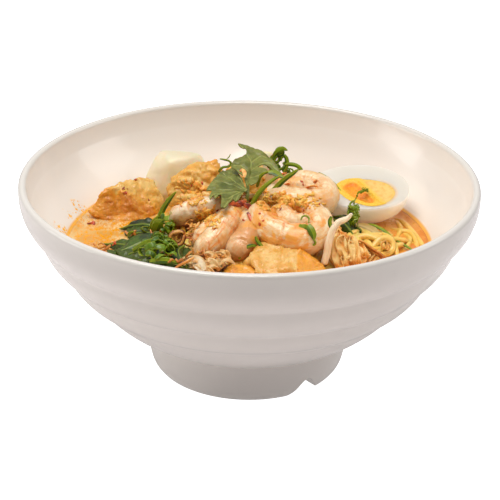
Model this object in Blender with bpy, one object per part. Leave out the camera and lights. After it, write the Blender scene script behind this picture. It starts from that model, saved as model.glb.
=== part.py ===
"""Laksa noodle soup in its bowl: a wide ribbed bowl on a notched foot ring, filled with
broth and a heap of noodles that carries prawns, fried tofu, half an egg, radish, wilted
greens, a bean sprout, a crumpled tofu skin and a sprig of coriander.

Metres, +Z up. The origin is on the bowl's axis, on the surface that the foot ring stands
on, and -Y is the front. The heap is built from the top down: each piece is cut round the
pieces that lie on it, with a small gap, so that the solids nest and never overlap.
"""

import math

import bmesh
import bpy
from mathutils import Matrix, Vector, noise

MM = 0.001

# Bowl
RIM_RADIUS = 125.0 * MM
BOWL_HEIGHT = 110.7 * MM
LIP_RADIUS = 2.2 * MM
BOWL_SEGMENTS = 44
# Creases of the ribbed outside, from the top one down to the foot: (radius, height).
CREASES = [
    (115.1 * MM, 84.7 * MM),
    (101.8 * MM, 64.9 * MM),
    (87.9 * MM, 48.5 * MM),
    (59.0 * MM, 25.6 * MM),
]
# How far each band between two creases bulges out of its chord, the top band first.
BAND_BULGES = [2.0 * MM, 1.0 * MM, 1.0 * MM, 1.5 * MM]
STEPS_PER_BAND = 2
# The smooth inside wall, from the lip down to the axis: (radius, height).
INSIDE_WALL = [
    (118.3 * MM, 100.0 * MM),
    (112.0 * MM, 88.0 * MM),
    (99.6 * MM, 72.3 * MM),
    (90.2 * MM, 60.0 * MM),
    (79.5 * MM, 48.5 * MM),
    (60.0 * MM, 34.5 * MM),
    (42.0 * MM, 29.5 * MM),
]
INSIDE_FLOOR = 28.5 * MM
# The foot ring's outside, from under the last crease to the standing face: (radius, height).
FOOT_OUTSIDE = [
    (56.3 * MM, 24.2 * MM),
    (55.8 * MM, 16.0 * MM),
    (53.4 * MM, 7.0 * MM),
    (50.6 * MM, 2.6 * MM),
    (48.2 * MM, 0.7 * MM),
    (46.4 * MM, 0.0),
]
FOOT_INSIDE_RADIUS = 41.5 * MM
FOOT_EDGE = 1.2 * MM
FOOT_RECESS = 22.0 * MM
# Two drain notches in the foot ring, opposite each other.
NOTCH_AZIMUTH = math.radians(-48.5)
NOTCH_WIDTH = 22.0 * MM
NOTCH_HEIGHT = 8.0 * MM

# Contents
GAP = 0.35 * MM
SOUP_LEVEL = 72.3 * MM
HEAP_CENTRE = Vector((5.0, 8.0)) * MM
HEAP_REACH = 48.0 * MM
HEAP_BASE = 65.0 * MM
HEAP_RISE = 26.0 * MM
HEAP_RADIUS = 88.0 * MM
HEAP_UNDERSIDE = 46.0 * MM


def clear_scene():
    for obj in list(bpy.data.objects):
        bpy.data.objects.remove(obj, do_unlink=True)


def finish(name, colour, roughness):
    """A plain material with the part's colour."""
    material = bpy.data.materials.new(name)
    material.use_nodes = True
    shader = material.node_tree.nodes["Principled BSDF"]
    shader.inputs["Base Color"].default_value = (*colour, 1.0)
    shader.inputs["Roughness"].default_value = roughness
    shader.inputs["Metallic"].default_value = 0.0
    return material


def add_object(name, mesh_builder, material):
    """Links an object that holds the bmesh, with its faces pointing out."""
    bmesh.ops.remove_doubles(mesh_builder, verts=mesh_builder.verts, dist=1e-6)
    bmesh.ops.triangulate(mesh_builder, faces=mesh_builder.faces)
    bmesh.ops.recalc_face_normals(mesh_builder, faces=mesh_builder.faces)
    if mesh_builder.calc_volume(signed=True) < 0:
        bmesh.ops.reverse_faces(mesh_builder, faces=mesh_builder.faces)
    mesh = bpy.data.meshes.new(name)
    mesh_builder.to_mesh(mesh)
    mesh_builder.free()
    mesh.shade_smooth()
    mesh.materials.append(material)
    obj = bpy.data.objects.new(name, mesh)
    bpy.context.scene.collection.objects.link(obj)
    return obj


def turned(profile, segments):
    """A bmesh turned about Z from (radius, height) points that start and end on the axis."""
    builder = bmesh.new()
    points = [builder.verts.new((radius, 0.0, height)) for radius, height in profile]
    edges = [builder.edges.new(pair) for pair in zip(points, points[1:])]
    bmesh.ops.spin(
        builder,
        geom=points + edges,
        cent=(0, 0, 0),
        axis=(0, 0, 1),
        angle=2 * math.pi,
        steps=segments,
        use_duplicate=False,
    )
    bmesh.ops.remove_doubles(builder, verts=builder.verts, dist=1e-5)
    return builder


def lofted(rings):
    """A closed bmesh through rings of points, each with the same count, capped at both ends."""
    builder = bmesh.new()
    loops = [[builder.verts.new(point) for point in ring] for ring in rings]
    count = len(rings[0])
    for lower, upper in zip(loops, loops[1:]):
        for i in range(count):
            j = (i + 1) % count
            builder.faces.new((lower[i], lower[j], upper[j], upper[i]))
    builder.faces.new(loops[0])
    builder.faces.new(loops[-1])
    bmesh.ops.triangulate(builder, faces=[f for f in builder.faces if len(f.verts) > 4])
    return builder


def cutter_of(obj):
    """A hidden copy of obj, grown by the gap along its normals, to cut its neighbours with."""
    copy = obj.copy()
    copy.data = obj.data.copy()
    copy.name = obj.name + "_cutter"
    copy.hide_render = True
    copy.display_type = "WIRE"
    bpy.context.scene.collection.objects.link(copy)
    for vertex, normal in zip(copy.data.vertices, [v.normal.copy() for v in obj.data.vertices]):
        vertex.co += normal * GAP
    return copy


def box_of(obj):
    corners = [vertex.co for vertex in obj.data.vertices]
    low = Vector(min(c[i] for c in corners) for i in range(3))
    high = Vector(max(c[i] for c in corners) for i in range(3))
    return low, high


def boxes_meet(a, b):
    (a_low, a_high), (b_low, b_high) = box_of(a), box_of(b)
    return all(a_low[i] < b_high[i] and b_low[i] < a_high[i] for i in range(3))


def apply_boolean(obj, cutter):
    modifier = obj.modifiers.new("Cut", "BOOLEAN")
    modifier.operation = "DIFFERENCE"
    modifier.solver = "EXACT"
    modifier.object = cutter
    graph = bpy.context.evaluated_depsgraph_get()
    cut_mesh = bpy.data.meshes.new_from_object(obj.evaluated_get(graph))
    obj.modifiers.remove(modifier)
    obj.data = cut_mesh


def keep_largest_body(obj):
    """Drops the crumbs that a cut can leave beside the main body."""
    builder = bmesh.new()
    builder.from_mesh(obj.data)
    bmesh.ops.remove_doubles(builder, verts=builder.verts, dist=1e-6)
    left, bodies = set(builder.verts), []
    while left:
        front, body = [left.pop()], set()
        while front:
            vertex = front.pop()
            body.add(vertex)
            for edge in vertex.link_edges:
                other = edge.other_vert(vertex)
                if other in left:
                    left.remove(other)
                    front.append(other)
        bodies.append(body)
    largest = max(bodies, key=len)
    crumbs = [vertex for vertex in builder.verts if vertex not in largest]
    bmesh.ops.delete(builder, geom=crumbs, context="VERTS")
    builder.to_mesh(obj.data)
    builder.free()


def cut_round(obj, cutters):
    """Cuts obj clear of each cutter that it meets."""
    bpy.context.view_layer.update()
    for cutter in cutters:
        if boxes_meet(obj, cutter):
            apply_boolean(obj, cutter)
    keep_largest_body(obj)


# ---------------------------------------------------------------- bowl


def outside_wall():
    """The ribbed outside from the lip down to the foot: bands that bulge between creases."""
    ends = [(RIM_RADIUS, BOWL_HEIGHT - LIP_RADIUS)] + CREASES
    points = []
    for (r0, z0), (r1, z1), bulge in zip(ends, ends[1:], BAND_BULGES):
        along = Vector((r1 - r0, z1 - z0))
        outward = Vector((-along.y, along.x)).normalized()
        for step in range(STEPS_PER_BAND):
            t = step / STEPS_PER_BAND
            place = Vector((r0, z0)) + along * t + outward * (4 * bulge * t * (1 - t))
            points.append((place.x, place.y))
    points.append(ends[-1])
    return points


def lip():
    """The round lip, from the inside edge over the top to the outside edge."""
    centre = RIM_RADIUS - LIP_RADIUS
    angles = [math.radians(degrees) for degrees in (180, 135, 90, 45)]
    height = BOWL_HEIGHT - LIP_RADIUS
    return [
        (centre + LIP_RADIUS * math.cos(a), height + LIP_RADIUS * math.sin(a)) for a in angles
    ]


def foot_ring():
    """The foot's outside, its standing face and its hollow inside, down and back up."""
    return FOOT_OUTSIDE + [
        (FOOT_INSIDE_RADIUS + FOOT_EDGE, 0.0),
        (FOOT_INSIDE_RADIUS, FOOT_EDGE),
        (FOOT_INSIDE_RADIUS + 2.5 * MM, FOOT_RECESS - 3.0 * MM),
        (FOOT_INSIDE_RADIUS - 0.5 * MM, FOOT_RECESS),
    ]


def notch_cutter(azimuth):
    """A bell-shaped bar that runs out through the foot ring at one azimuth."""
    steps = 8
    inner, outer = FOOT_INSIDE_RADIUS - 6 * MM, FOOT_OUTSIDE[0][0] + 4 * MM
    outline = []
    for i in range(steps + 1):
        across = (i / steps - 0.5) * NOTCH_WIDTH
        height = NOTCH_HEIGHT * 0.5 * (1 + math.cos(2 * math.pi * across / NOTCH_WIDTH))
        outline.append((across, height + 0.02 * MM))
    outline += [(NOTCH_WIDTH / 2, -5 * MM), (-NOTCH_WIDTH / 2, -5 * MM)]
    rings = [[(reach, across, z) for across, z in outline] for reach in (inner, outer)]
    builder = lofted(rings)
    bmesh.ops.rotate(builder, verts=builder.verts, matrix=Matrix.Rotation(azimuth, 3, "Z"))
    cutter = add_object("notch_cutter", builder, finish("cutter", (0.5, 0.5, 0.5), 0.5))
    cutter.hide_render = True
    cutter.display_type = "WIRE"
    return cutter


def make_bowl():
    profile = [(0.0, INSIDE_FLOOR)] + INSIDE_WALL[::-1] + lip() + outside_wall()
    profile += foot_ring() + [(0.0, FOOT_RECESS)]
    bowl = add_object(
        "bowl", turned(profile, BOWL_SEGMENTS), finish("bowl_glaze", (0.86, 0.83, 0.79), 0.25)
    )
    for turn in (0.0, math.pi):
        cutter = notch_cutter(NOTCH_AZIMUTH + turn)
        bpy.context.view_layer.update()
        apply_boolean(bowl, cutter)
        bpy.data.objects.remove(cutter, do_unlink=True)
    return bowl


# ---------------------------------------------------------------- toppings


def catmull(points, per_span):
    """Points along a smooth curve through the given ones, each a tuple of numbers."""
    rows = [Vector(p) if len(p) < 4 else p for p in points]
    found = []
    for i in range(len(rows) - 1):
        a, b, c, d = (rows[max(0, min(len(rows) - 1, i + k))] for k in (-1, 0, 1, 2))
        for step in range(per_span):
            t = step / per_span
            found.append(
                tuple(
                    0.5
                    * (
                        2 * q
                        + (r - p) * t
                        + (2 * p - 5 * q + 4 * r - s) * t**2
                        + (3 * q - p - 3 * r + s) * t**3
                    )
                    for p, q, r, s in zip(a, b, c, d)
                )
            )
    found.append(tuple(rows[-1]))
    return found


def make_prawn(name, normal, spine, slit, material, around=10):
    """A peeled prawn along a curled spine of (x, y, z, half width, half depth) in millimetres.
    Its width runs along the curl's normal, and its back, slit along the middle, is the outer
    side of the curl, so that the slit parts it into two lobes."""
    stations = catmull(spine, 2)
    normal = Vector(normal).normalized()
    rings = []
    for i, (x, y, z, wide, deep) in enumerate(stations):
        ahead = Vector(stations[min(i + 1, len(stations) - 1)][:3])
        along = (ahead - Vector(stations[max(i - 1, 0)][:3])).normalized()
        out = normal.cross(along).normalized()
        across = along.cross(out)
        ring = []
        for k in range(around):
            a = 2 * math.pi * k / around
            dent = 1.0 - slit * max(0.0, math.cos(a)) ** 6
            offset = across * math.sin(a) * wide + out * math.cos(a) * deep * dent
            ring.append((Vector((x, y, z)) + offset) * MM)
        rings.append(ring)
    return add_object(name, lofted(rings), material)


def make_block(name, corners, wrinkle, seed, material, cuts=2, smoothing=1):
    """A soft-edged block on corner points in millimetres, its faces wrinkled by noise."""
    builder = bmesh.new()
    for corner in corners:
        builder.verts.new(Vector(corner) * MM)
    hull = bmesh.ops.convex_hull(builder, input=builder.verts)
    inside = [v for v in hull["geom_interior"] if isinstance(v, bmesh.types.BMVert)]
    bmesh.ops.delete(builder, geom=inside, context="VERTS")
    bmesh.ops.subdivide_edges(builder, edges=builder.edges, cuts=cuts, use_grid_fill=True)
    for _ in range(smoothing):
        bmesh.ops.smooth_vert(
            builder, verts=builder.verts, factor=0.3, use_axis_x=True, use_axis_y=True, use_axis_z=True
        )
    builder.normal_update()
    moves = [
        v.normal * noise.noise(v.co * 170 + Vector((seed, -seed, seed))) * wrinkle * MM
        for v in builder.verts
    ]
    for vertex, move in zip(builder.verts, moves):
        vertex.co += move
    return add_object(name, builder, material)


EGG_CENTRE = Vector((62.0, 37.0, 92.0)) * MM
EGG_HALF_LENGTH = 28.0 * MM
EGG_HALF_WIDTH = 20.8 * MM
EGG_TURN = math.radians(-4)
EGG_TILT = math.radians(14)
YOLK_PLACE = Vector((3.2, -5.6, 0.0)) * MM
YOLK_HALF_LENGTH = 16.6 * MM
YOLK_HALF_WIDTH = 12.6 * MM


def egg_frame():
    turn = Matrix.Rotation(EGG_TURN, 4, "Z")
    tilt = Matrix.Rotation(EGG_TILT, 4, "X")
    return Matrix.Translation(EGG_CENTRE) @ tilt @ turn


def half_ball(half_length, half_width, taper, segments, rings):
    """Rings of half an egg shape under a flat face at local z 0, from the face down. The
    blunt end is towards +X."""
    found = []
    for i in range(rings):
        down = math.pi / 2 * i / rings
        size = math.cos(down)
        ring = []
        for k in range(segments):
            a = 2 * math.pi * k / segments
            x = half_length * size * math.cos(a)
            grow = 1.0 + taper * x / half_length
            ring.append(
                Vector((x, half_width * grow * size * math.sin(a), -half_width * grow * math.sin(down)))
            )
        found.append(ring)
    return found


def make_egg(material_white, material_yolk):
    """Half a boiled egg, cut face up: the white is a shell round the half ball of yolk."""
    frame = egg_frame()
    outer = half_ball(EGG_HALF_LENGTH, EGG_HALF_WIDTH, 0.08, 24, 6)
    white = add_object("egg_white", lofted([[frame @ p for p in r] for r in outer]), material_white)
    inner = half_ball(YOLK_HALF_LENGTH, YOLK_HALF_WIDTH, 0.0, 20, 4)
    inner = [[frame @ (p + YOLK_PLACE) for p in ring] for ring in inner]
    yolk = add_object("egg_yolk", lofted(inner), material_yolk)
    # The hollow is a little larger than the yolk, and its cutter stands out of the cut face.
    hollow = half_ball(YOLK_HALF_LENGTH + GAP, YOLK_HALF_WIDTH + GAP, 0.0, 20, 4)
    hollow = [[p + Vector((0, 0, 2 * MM)) for p in hollow[0]]] + hollow
    cutter = add_object(
        "yolk_cutter", lofted([[frame @ (p + YOLK_PLACE) for p in r] for r in hollow]), material_yolk
    )
    cutter.hide_render = True
    bpy.context.view_layer.update()
    apply_boolean(white, cutter)
    bpy.data.objects.remove(cutter, do_unlink=True)
    return white, yolk


def make_lump(name, centre, half_sizes, turn, roughness, seed, material, detail=2):
    """A closed uneven lump: a ball squashed to its half sizes and roughened by noise."""
    builder = bmesh.new()
    bmesh.ops.create_icosphere(builder, subdivisions=detail, radius=1.0)
    matrix = Matrix.Translation(Vector(centre) * MM) @ Matrix.Rotation(math.radians(turn), 4, "Z")
    for vertex in builder.verts:
        place = vertex.co
        shift = noise.noise(place * 2.2 + Vector((seed, 0, seed))) * roughness
        place = place * (1 + shift)
        vertex.co = matrix @ (Vector(p * w for p, w in zip(place, half_sizes)) * MM)
    return add_object(name, builder, material)


def make_tube(name, points, around, material):
    """A closed tube along (x, y, z, radius) points in millimetres."""
    rings = []
    stations = catmull(points, 2)
    path = [Vector(p[:3]) * MM for p in stations]
    for i, (place, station) in enumerate(zip(path, stations)):
        ahead = path[min(i + 1, len(path) - 1)] - path[max(i - 1, 0)]
        side = ahead.cross(Vector((0.3, -0.8, 0.5))).normalized()
        up = side.cross(ahead).normalized()
        rings.append(
            [
                place + (side * math.cos(a) + up * math.sin(a)) * station[3] * MM
                for a in (2 * math.pi * k / around for k in range(around))
            ]
        )
    return add_object(name, lofted(rings), material)


# The coriander's two leaves, round their edge from the stem, in millimetres.
CORIANDER_EDGE = [
    (0, 3, 105), (3, 6, 104), (4, 8, 105), (8, 19, 106), (9, 24, 106),
    (13, 27, 106), (17, 28, 105), (15, 35, 106), (11, 42, 107), (5, 48, 108),
    (0, 52, 108), (-5, 59, 107.5), (-7, 58, 107), (-2, 45, 108), (-6, 37, 108),
    (-10, 30, 107.5), (-16, 17, 106.5), (-22, 3, 105), (-23, -1, 104), (-20, -3, 104.5),
    (-22, -8, 103.5), (-18, -13, 103.5), (-15, -7, 104), (-15, -19, 102.5), (-12, -20, 102.5),
    (-9, -13, 104), (-5, -11, 104.5), (-2, 0, 105),
]
CORIANDER_THICKNESS = 1.4 * MM


def make_coriander(material):
    """The sprig's two lobed leaves as one plate that lies over the heap."""
    builder = bmesh.new()
    low = [builder.verts.new(Vector(p) * MM) for p in CORIANDER_EDGE]
    up = Vector((0, 0, CORIANDER_THICKNESS))
    high = [builder.verts.new(Vector(p) * MM + up) for p in CORIANDER_EDGE]
    for i in range(len(low)):
        j = (i + 1) % len(low)
        builder.faces.new((low[i], low[j], high[j], high[i]))
    for loop in (low, high):
        edges = [builder.edges.get(pair) for pair in zip(loop, loop[1:] + loop[:1])]
        bmesh.ops.triangle_fill(builder, edges=edges, use_beauty=True)
    return add_object("coriander", builder, material)


# ---------------------------------------------------------------- noodles and soup


def heap_height(x, y):
    """Height of the noodle heap at a place, in metres."""
    away = (Vector((x, y)) - HEAP_CENTRE).length
    mound = HEAP_RISE * math.exp(-((away / HEAP_REACH) ** 2))
    right = Vector((x - 74 * MM, y + 4 * MM)).length
    shoulder = 8.5 * MM * math.exp(-((right / (22 * MM)) ** 2))
    uneven = noise.noise(Vector((x, y, 0)) * 60) * 1.6 * MM
    return HEAP_BASE + mound + shoulder + uneven


def make_noodles(material):
    """The noodle heap out to its uneven outline, as rings of a height field over a base."""
    around, circles = 24, 7
    rings = []
    for share in (0.35, 1.0):
        rings.append(
            [
                Vector((math.cos(a), math.sin(a), 0)) * HEAP_RADIUS * 0.8 * share
                + Vector((0, 0, HEAP_UNDERSIDE))
                for a in (2 * math.pi * k / around for k in range(around))
            ]
        )
    for i in range(circles):
        radius = HEAP_RADIUS * (1 - i / circles)
        ring = []
        for k in range(around):
            a = 2 * math.pi * k / around
            x, y = radius * math.cos(a), radius * math.sin(a)
            ring.append(Vector((x, y, heap_height(x, y))))
        rings.append(ring)
    return add_object("noodles", lofted(rings), material)


def make_soup(material):
    """The broth: the bowl's inside up to the level, a gap away from the wall."""
    wall = [(r - 1.3 * GAP, z) for r, z in INSIDE_WALL if z < SOUP_LEVEL]
    profile = [(0.0, SOUP_LEVEL), (99.6 * MM - 1.3 * GAP, SOUP_LEVEL)]
    profile += [(r, z + GAP) for r, z in wall] + [(0.0, INSIDE_FLOOR + GAP)]
    return add_object("soup", turned(profile, BOWL_SEGMENTS), material)


def make_toppings():
    """The pieces on the heap, those on top first."""
    prawn_flesh = finish("prawn_flesh", (0.86, 0.60, 0.38), 0.35)
    tofu_crust = finish("tofu_crust", (0.80, 0.50, 0.17), 0.55)
    radish_flesh = finish("radish_flesh", (0.80, 0.76, 0.55), 0.3)
    leaf_green = finish("leaf_green", (0.06, 0.16, 0.03), 0.4)
    egg_white, egg_yolk = make_egg(
        finish("egg_white_flesh", (0.88, 0.85, 0.78), 0.3),
        finish("egg_yolk_flesh", (0.95, 0.48, 0.05), 0.45),
    )
    return [
        make_coriander(finish("herb_green", (0.22, 0.32, 0.12), 0.45)),
        egg_white,
        egg_yolk,
        make_prawn(
            "prawn_centre",
            (0.0, -0.62, 0.78),
            [
                (8, -9, 98, 5, 5), (6, -17, 96, 7, 7.2), (10.5, -25, 92, 8, 8),
                (20, -30.5, 89.5, 8.2, 8.2), (31, -31.5, 89, 8, 8), (38, -26, 91, 7.6, 7.4),
                (37, -17, 95, 7, 6.8), (31, -9, 98, 6, 5.8), (21.5, -8, 98, 5, 4.8),
                (17, -14, 96, 3.6, 3.6),
            ],
            0.0,
            prawn_flesh,
        ),
        make_prawn(
            "prawn_right",
            (0.05, -0.35, 0.94),
            [
                (8, 15, 97, 5, 5), (18, 9, 96, 7, 7), (30, 5, 94.5, 8, 8),
                (41, 6, 94, 8, 7.6), (47, 14, 95.5, 7.6, 7), (43, 24, 98, 7, 6.4),
                (33, 28.5, 99, 6, 5.6), (24, 27, 98.5, 4.8, 4.4), (20, 21, 97.5, 3.2, 3),
            ],
            0.0,
            prawn_flesh,
        ),
        make_prawn(
            "prawn_left",
            (1.0, -0.35, -0.1),
            [
                (-13, -38, 76, 9, 6), (-13.5, -37, 82, 14.5, 8), (-11.5, -30, 88, 15.5, 9),
                (-8.5, -20, 93, 13.5, 8.6), (-5, -10, 96, 10, 7), (-3, -3, 96.5, 7, 5.6),
                (-2, 4, 93, 4.5, 4.4), (-2, 8, 88, 3, 3),
            ],
            0.5,
            prawn_flesh,
            14,
        ),
        make_prawn(
            "prawn_back",
            (0.25, -0.85, 0.46),
            [
                (-44, 9, 79, 4, 4), (-39, 7, 85, 6.6, 6.6), (-30, 5, 90, 7.4, 7.2),
                (-20, 4, 94, 7.2, 7.0), (-12, 8, 94, 6, 6), (-8, 14, 90, 4.4, 4.4),
            ],
            0.0,
            prawn_flesh,
        ),
        make_block(
            "tofu_front_left",
            [
                (-14, -49, 79), (-7, -48, 83), (2, -47, 82.5), (9, -50, 77), (-15, -60, 78),
                (0, -65, 79), (10, -61, 76), (-12, -50, 68), (8, -50, 68), (-8, -66, 68), (8, -64, 68),
            ],
            1.6, 2.9, tofu_crust,
        ),
        make_block(
            "tofu_front",
            [
                (-4, -42, 80), (0, -37, 86), (6, -32, 89.5), (12, -29, 90.5), (18, -33, 90.5),
                (26, -36, 89.5), (31, -41, 88), (46, -44, 74), (0, -58, 81), (20, -60, 83),
                (38, -56, 76), (0, -50, 70), (30, -58, 68), (43, -50, 69), (4, -34, 76), (30, -34, 76),
            ],
            1.4, 7.3, tofu_crust,
        ),
        make_block(
            "tofu_left",
            [
                (-97, 29, 76), (-88, 34, 84), (-76, 39, 91), (-71, 46, 90.5), (-60, 57, 90),
                (-53, 58, 87), (-46, 50, 80), (-54, 32, 71), (-63, 27, 69), (-82, 30, 69),
                (-77, 50, 65), (-60, 60, 66), (-48, 45, 65),
            ],
            2.2, 1.7, tofu_crust,
        ),
        make_block(
            "tofu_centre",
            [
                (-47, 42, 93), (-47, 35, 82), (-37, 37, 100), (-27, 46, 104), (-19, 44, 104),
                (-13, 38, 101), (-10, 29, 92), (-20, 29, 83), (-45, 30, 78), (-34, 26, 77),
                (-38, 53, 91), (-22, 55, 95), (-11, 47, 91), (-30, 51, 76), (-15, 46, 78),
            ],
            3.0, 4.1, tofu_crust,
        ),
        make_block(
            "tofu_back",
            [
                (-13, 61, 98), (-4, 60, 101), (9, 58, 98), (-14, 49, 92), (10, 47, 92),
                (-12, 66, 84), (10, 64, 84), (-11, 46, 81), (9, 44, 81),
            ],
            1.5, 9.2, tofu_crust, 1,
        ),
        make_block(
            "radish_left",
            [
                (-53.5, 74, 99), (-27, 66, 99.5), (-24.5, 64, 96), (-50, 82, 92), (-31, 78, 92),
                (-62, 69, 82), (-63, 66, 72), (-47, 59, 97), (-48, 54, 78), (-26, 58, 78),
                (-58, 60, 66), (-34, 57, 66), (-55, 73, 68), (-34, 75, 68), (-24, 68, 82),
            ],
            0.0, 0.0, radish_flesh,
        ),
        make_block(
            "radish_back",
            [
                (2, 78, 97), (14, 79, 96.5), (16, 76, 88), (1, 74, 86), (3, 88, 91), (15, 88, 90),
                (2, 76, 72), (17, 76, 72), (5, 88, 74), (15, 87, 74),
            ],
            0.0, 0.0, radish_flesh,
        ),
        make_tube(
            "bean_sprout",
            [
                (40, -40, 78, 2.1), (42, -39, 87, 2.1), (43, -37, 93, 2.0), (45, -35, 98, 1.9),
                (49, -33, 101.5, 1.7), (52, -32, 103, 1.3), (55, -31, 104, 0.8),
            ],
            7,
            finish("sprout_flesh", (0.85, 0.76, 0.60), 0.35),
        ),
        make_block(
            "tofu_skin",
            [
                (48, -20, 94), (43, -29, 82), (52, -38, 78), (60, -22, 83), (46, -36, 71),
                (62, -30, 71), (52, -12, 80), (56, -34, 86), (45, -27, 89),
            ],
            2.6, 3.3, finish("tofu_skin_fried", (0.78, 0.60, 0.30), 0.5),
        ),
        make_lump(
            "cabbage", (-19, -49, 77), (14, 7, 6.5), -6, 0.4, 6.0,
            finish("cabbage_leaf", (0.85, 0.80, 0.62), 0.35),
        ),
        make_lump("greens_front", (-47, -36, 75.5), (29, 21, 7.5), -22, 0.45, 5.0, leaf_green, 3),
        make_lump("greens_left", (-60, 9, 74), (12, 8, 5.5), 20, 0.5, 8.0, leaf_green),
        make_lump("greens_right", (51, 5, 79), (10, 7, 8), 10, 0.5, 11.0, leaf_green),
    ]


def main():
    """Each piece is cut by the uncut forms of the pieces above it, so that its cuts are clean."""
    clear_scene()
    make_bowl()
    cutters = []
    for topping in make_toppings():
        cutter = cutter_of(topping)
        if topping.name != "egg_yolk":
            cut_round(topping, cutters)
            cutters.append(cutter)
        else:
            bpy.data.objects.remove(cutter, do_unlink=True)
    noodles = make_noodles(finish("noodle_dough", (0.85, 0.62, 0.20), 0.4))
    noodles_cutter = cutter_of(noodles)
    cut_round(noodles, cutters)
    soup = make_soup(finish("broth", (0.85, 0.45, 0.12), 0.2))
    cut_round(soup, cutters + [noodles_cutter])


main()
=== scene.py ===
# %% [markdown]
# # Laksa noodle soup in its bowl
# A wide white melamine bowl holds spiced coconut broth and a heap of yellow noodles, and on
# the heap lie prawns, fried tofu, half a boiled egg, radish, wilted greens and herbs.
#
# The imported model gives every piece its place. This lesson keeps those places and makes
# each piece again with the detail that the eye expects: creases, crumbs, veins and gloss.

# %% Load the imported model
import math
import random

import bmesh
import bpy
import numpy as np
from mathutils import Matrix, Vector, noise
from mathutils.bvhtree import BVHTree


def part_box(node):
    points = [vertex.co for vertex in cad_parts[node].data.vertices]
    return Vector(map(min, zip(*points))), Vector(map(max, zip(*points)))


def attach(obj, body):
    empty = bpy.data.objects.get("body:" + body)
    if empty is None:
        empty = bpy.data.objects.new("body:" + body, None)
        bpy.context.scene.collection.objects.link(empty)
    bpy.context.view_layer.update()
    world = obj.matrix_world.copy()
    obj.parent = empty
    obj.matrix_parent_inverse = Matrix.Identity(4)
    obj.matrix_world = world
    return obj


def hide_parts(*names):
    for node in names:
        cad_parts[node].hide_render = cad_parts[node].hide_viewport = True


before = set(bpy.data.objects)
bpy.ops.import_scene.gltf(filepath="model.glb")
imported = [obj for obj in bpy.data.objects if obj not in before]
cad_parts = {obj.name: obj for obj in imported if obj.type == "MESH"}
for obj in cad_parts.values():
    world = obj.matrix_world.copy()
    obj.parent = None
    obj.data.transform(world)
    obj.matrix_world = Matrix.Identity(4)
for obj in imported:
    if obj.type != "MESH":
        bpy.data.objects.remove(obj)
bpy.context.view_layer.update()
print("CAD nodes:", sorted(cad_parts))

MM = 0.001
BODY = "root"

# %% [markdown]
# ## Working by hand, in code
# Every tool of edit mode acts on what is selected, so the first helpers start a piece with
# nothing else selected, and select points by where they are. A finished piece sits at the
# origin with its place in its mesh, so that patterns on Object coordinates stay put.


# %% Selecting
def clear_selection():
    """Object mode, with nothing selected."""
    if bpy.context.object and bpy.context.object.mode != "OBJECT":
        bpy.ops.object.mode_set(mode="OBJECT")
    bpy.ops.object.select_all(action="DESELECT")


def only(piece):
    """Object mode, with this piece alone selected and active."""
    clear_selection()
    piece.select_set(True)
    bpy.context.view_layer.objects.active = piece


def named(name):
    """The object that an operator has just made, under its own name."""
    piece = bpy.context.object
    piece.name = piece.data.name = name
    return piece


def pick(piece, test=lambda place: True):
    """Edit mode, with the points whose place passes the test selected."""
    only(piece)
    bpy.ops.object.mode_set(mode="EDIT")
    bpy.ops.mesh.select_mode(type="VERT")
    bpy.ops.mesh.select_all(action="DESELECT")
    builder = bmesh.from_edit_mesh(piece.data)
    for vertex in builder.verts:
        vertex.select_set(test(vertex.co))
    builder.select_flush_mode()
    bmesh.update_edit_mesh(piece.data)


# %% Shaping
def extrude(x, y, z):
    """Extrudes what is selected in edit mode, by metres."""
    bpy.ops.mesh.extrude_region_move(TRANSFORM_OT_translate={"value": (x, y, z)})


def settle():
    """Moves the place of what an operator has just made into its mesh."""
    bpy.ops.object.transform_apply(location=True, rotation=True, scale=True)


def smooth(piece):
    only(piece)
    bpy.ops.object.shade_smooth()
    return piece


def tidy(piece, merge=0.002 * MM):
    """Doubles merged, faces turned outwards, smooth shading, and its place in its mesh."""
    pick(piece)
    bpy.ops.mesh.remove_doubles(threshold=merge)
    bpy.ops.mesh.normals_make_consistent(inside=False)
    smooth(piece)
    settle()
    return piece


def modify(piece, kind, **settings):
    """Adds one modifier and applies it."""
    only(piece)
    modifier = piece.modifiers.new(kind.title(), kind)
    for key, value in settings.items():
        setattr(modifier, key, value)
    bpy.ops.object.modifier_apply(modifier=modifier.name)
    return piece


def thickened(piece, thickness):
    """A sheet with its faces turned one way, and a thickness in millimetres."""
    pick(piece)
    bpy.ops.mesh.normals_make_consistent(inside=False)
    modify(piece, "SOLIDIFY", thickness=thickness * MM, offset=0.0)
    return smooth(piece)


def moved(piece, move):
    """Each point of the piece moved to move(place, normal)."""
    only(piece)
    normals = [v.normal.copy() for v in piece.data.vertices]
    for vertex, normal in zip(piece.data.vertices, normals):
        vertex.co = move(vertex.co.copy(), normal)
    piece.data.update()
    return piece


# %% Copying, joining and finishing
def keep(piece, values):
    """Three numbers for each point, in the attribute 'blank' that finishes read."""
    attributes = piece.data.attributes
    if "blank" not in attributes:
        attributes.new("blank", "FLOAT_VECTOR", "POINT")
    attributes["blank"].data.foreach_set("vector", values)


def joined(pieces, name):
    """Several pieces of one kind as one mesh."""
    clear_selection()
    for piece in pieces:
        piece.select_set(True)
    bpy.context.view_layer.objects.active = pieces[0]
    if len(pieces) > 1:
        bpy.ops.object.join()
    return named(name)


def copy_of(piece):
    """A copy with a mesh of its own."""
    copy = piece.copy()
    copy.data = piece.data.copy()
    bpy.context.scene.collection.objects.link(copy)
    return copy


def triangles(piece):
    piece.data.calc_loop_triangles()
    return len(piece.data.loop_triangles)


made = []


def finish_piece(piece, material, slot, *nodes):
    """Gives the piece its finish and its body, and hides the CAD nodes that it stands for."""
    piece.data.materials.clear()
    piece.data.materials.append(material)
    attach(piece, BODY)
    if nodes:
        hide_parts(*nodes)
    made.append(piece)
    print(f"{piece.name}: {triangles(piece)} triangles")


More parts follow.
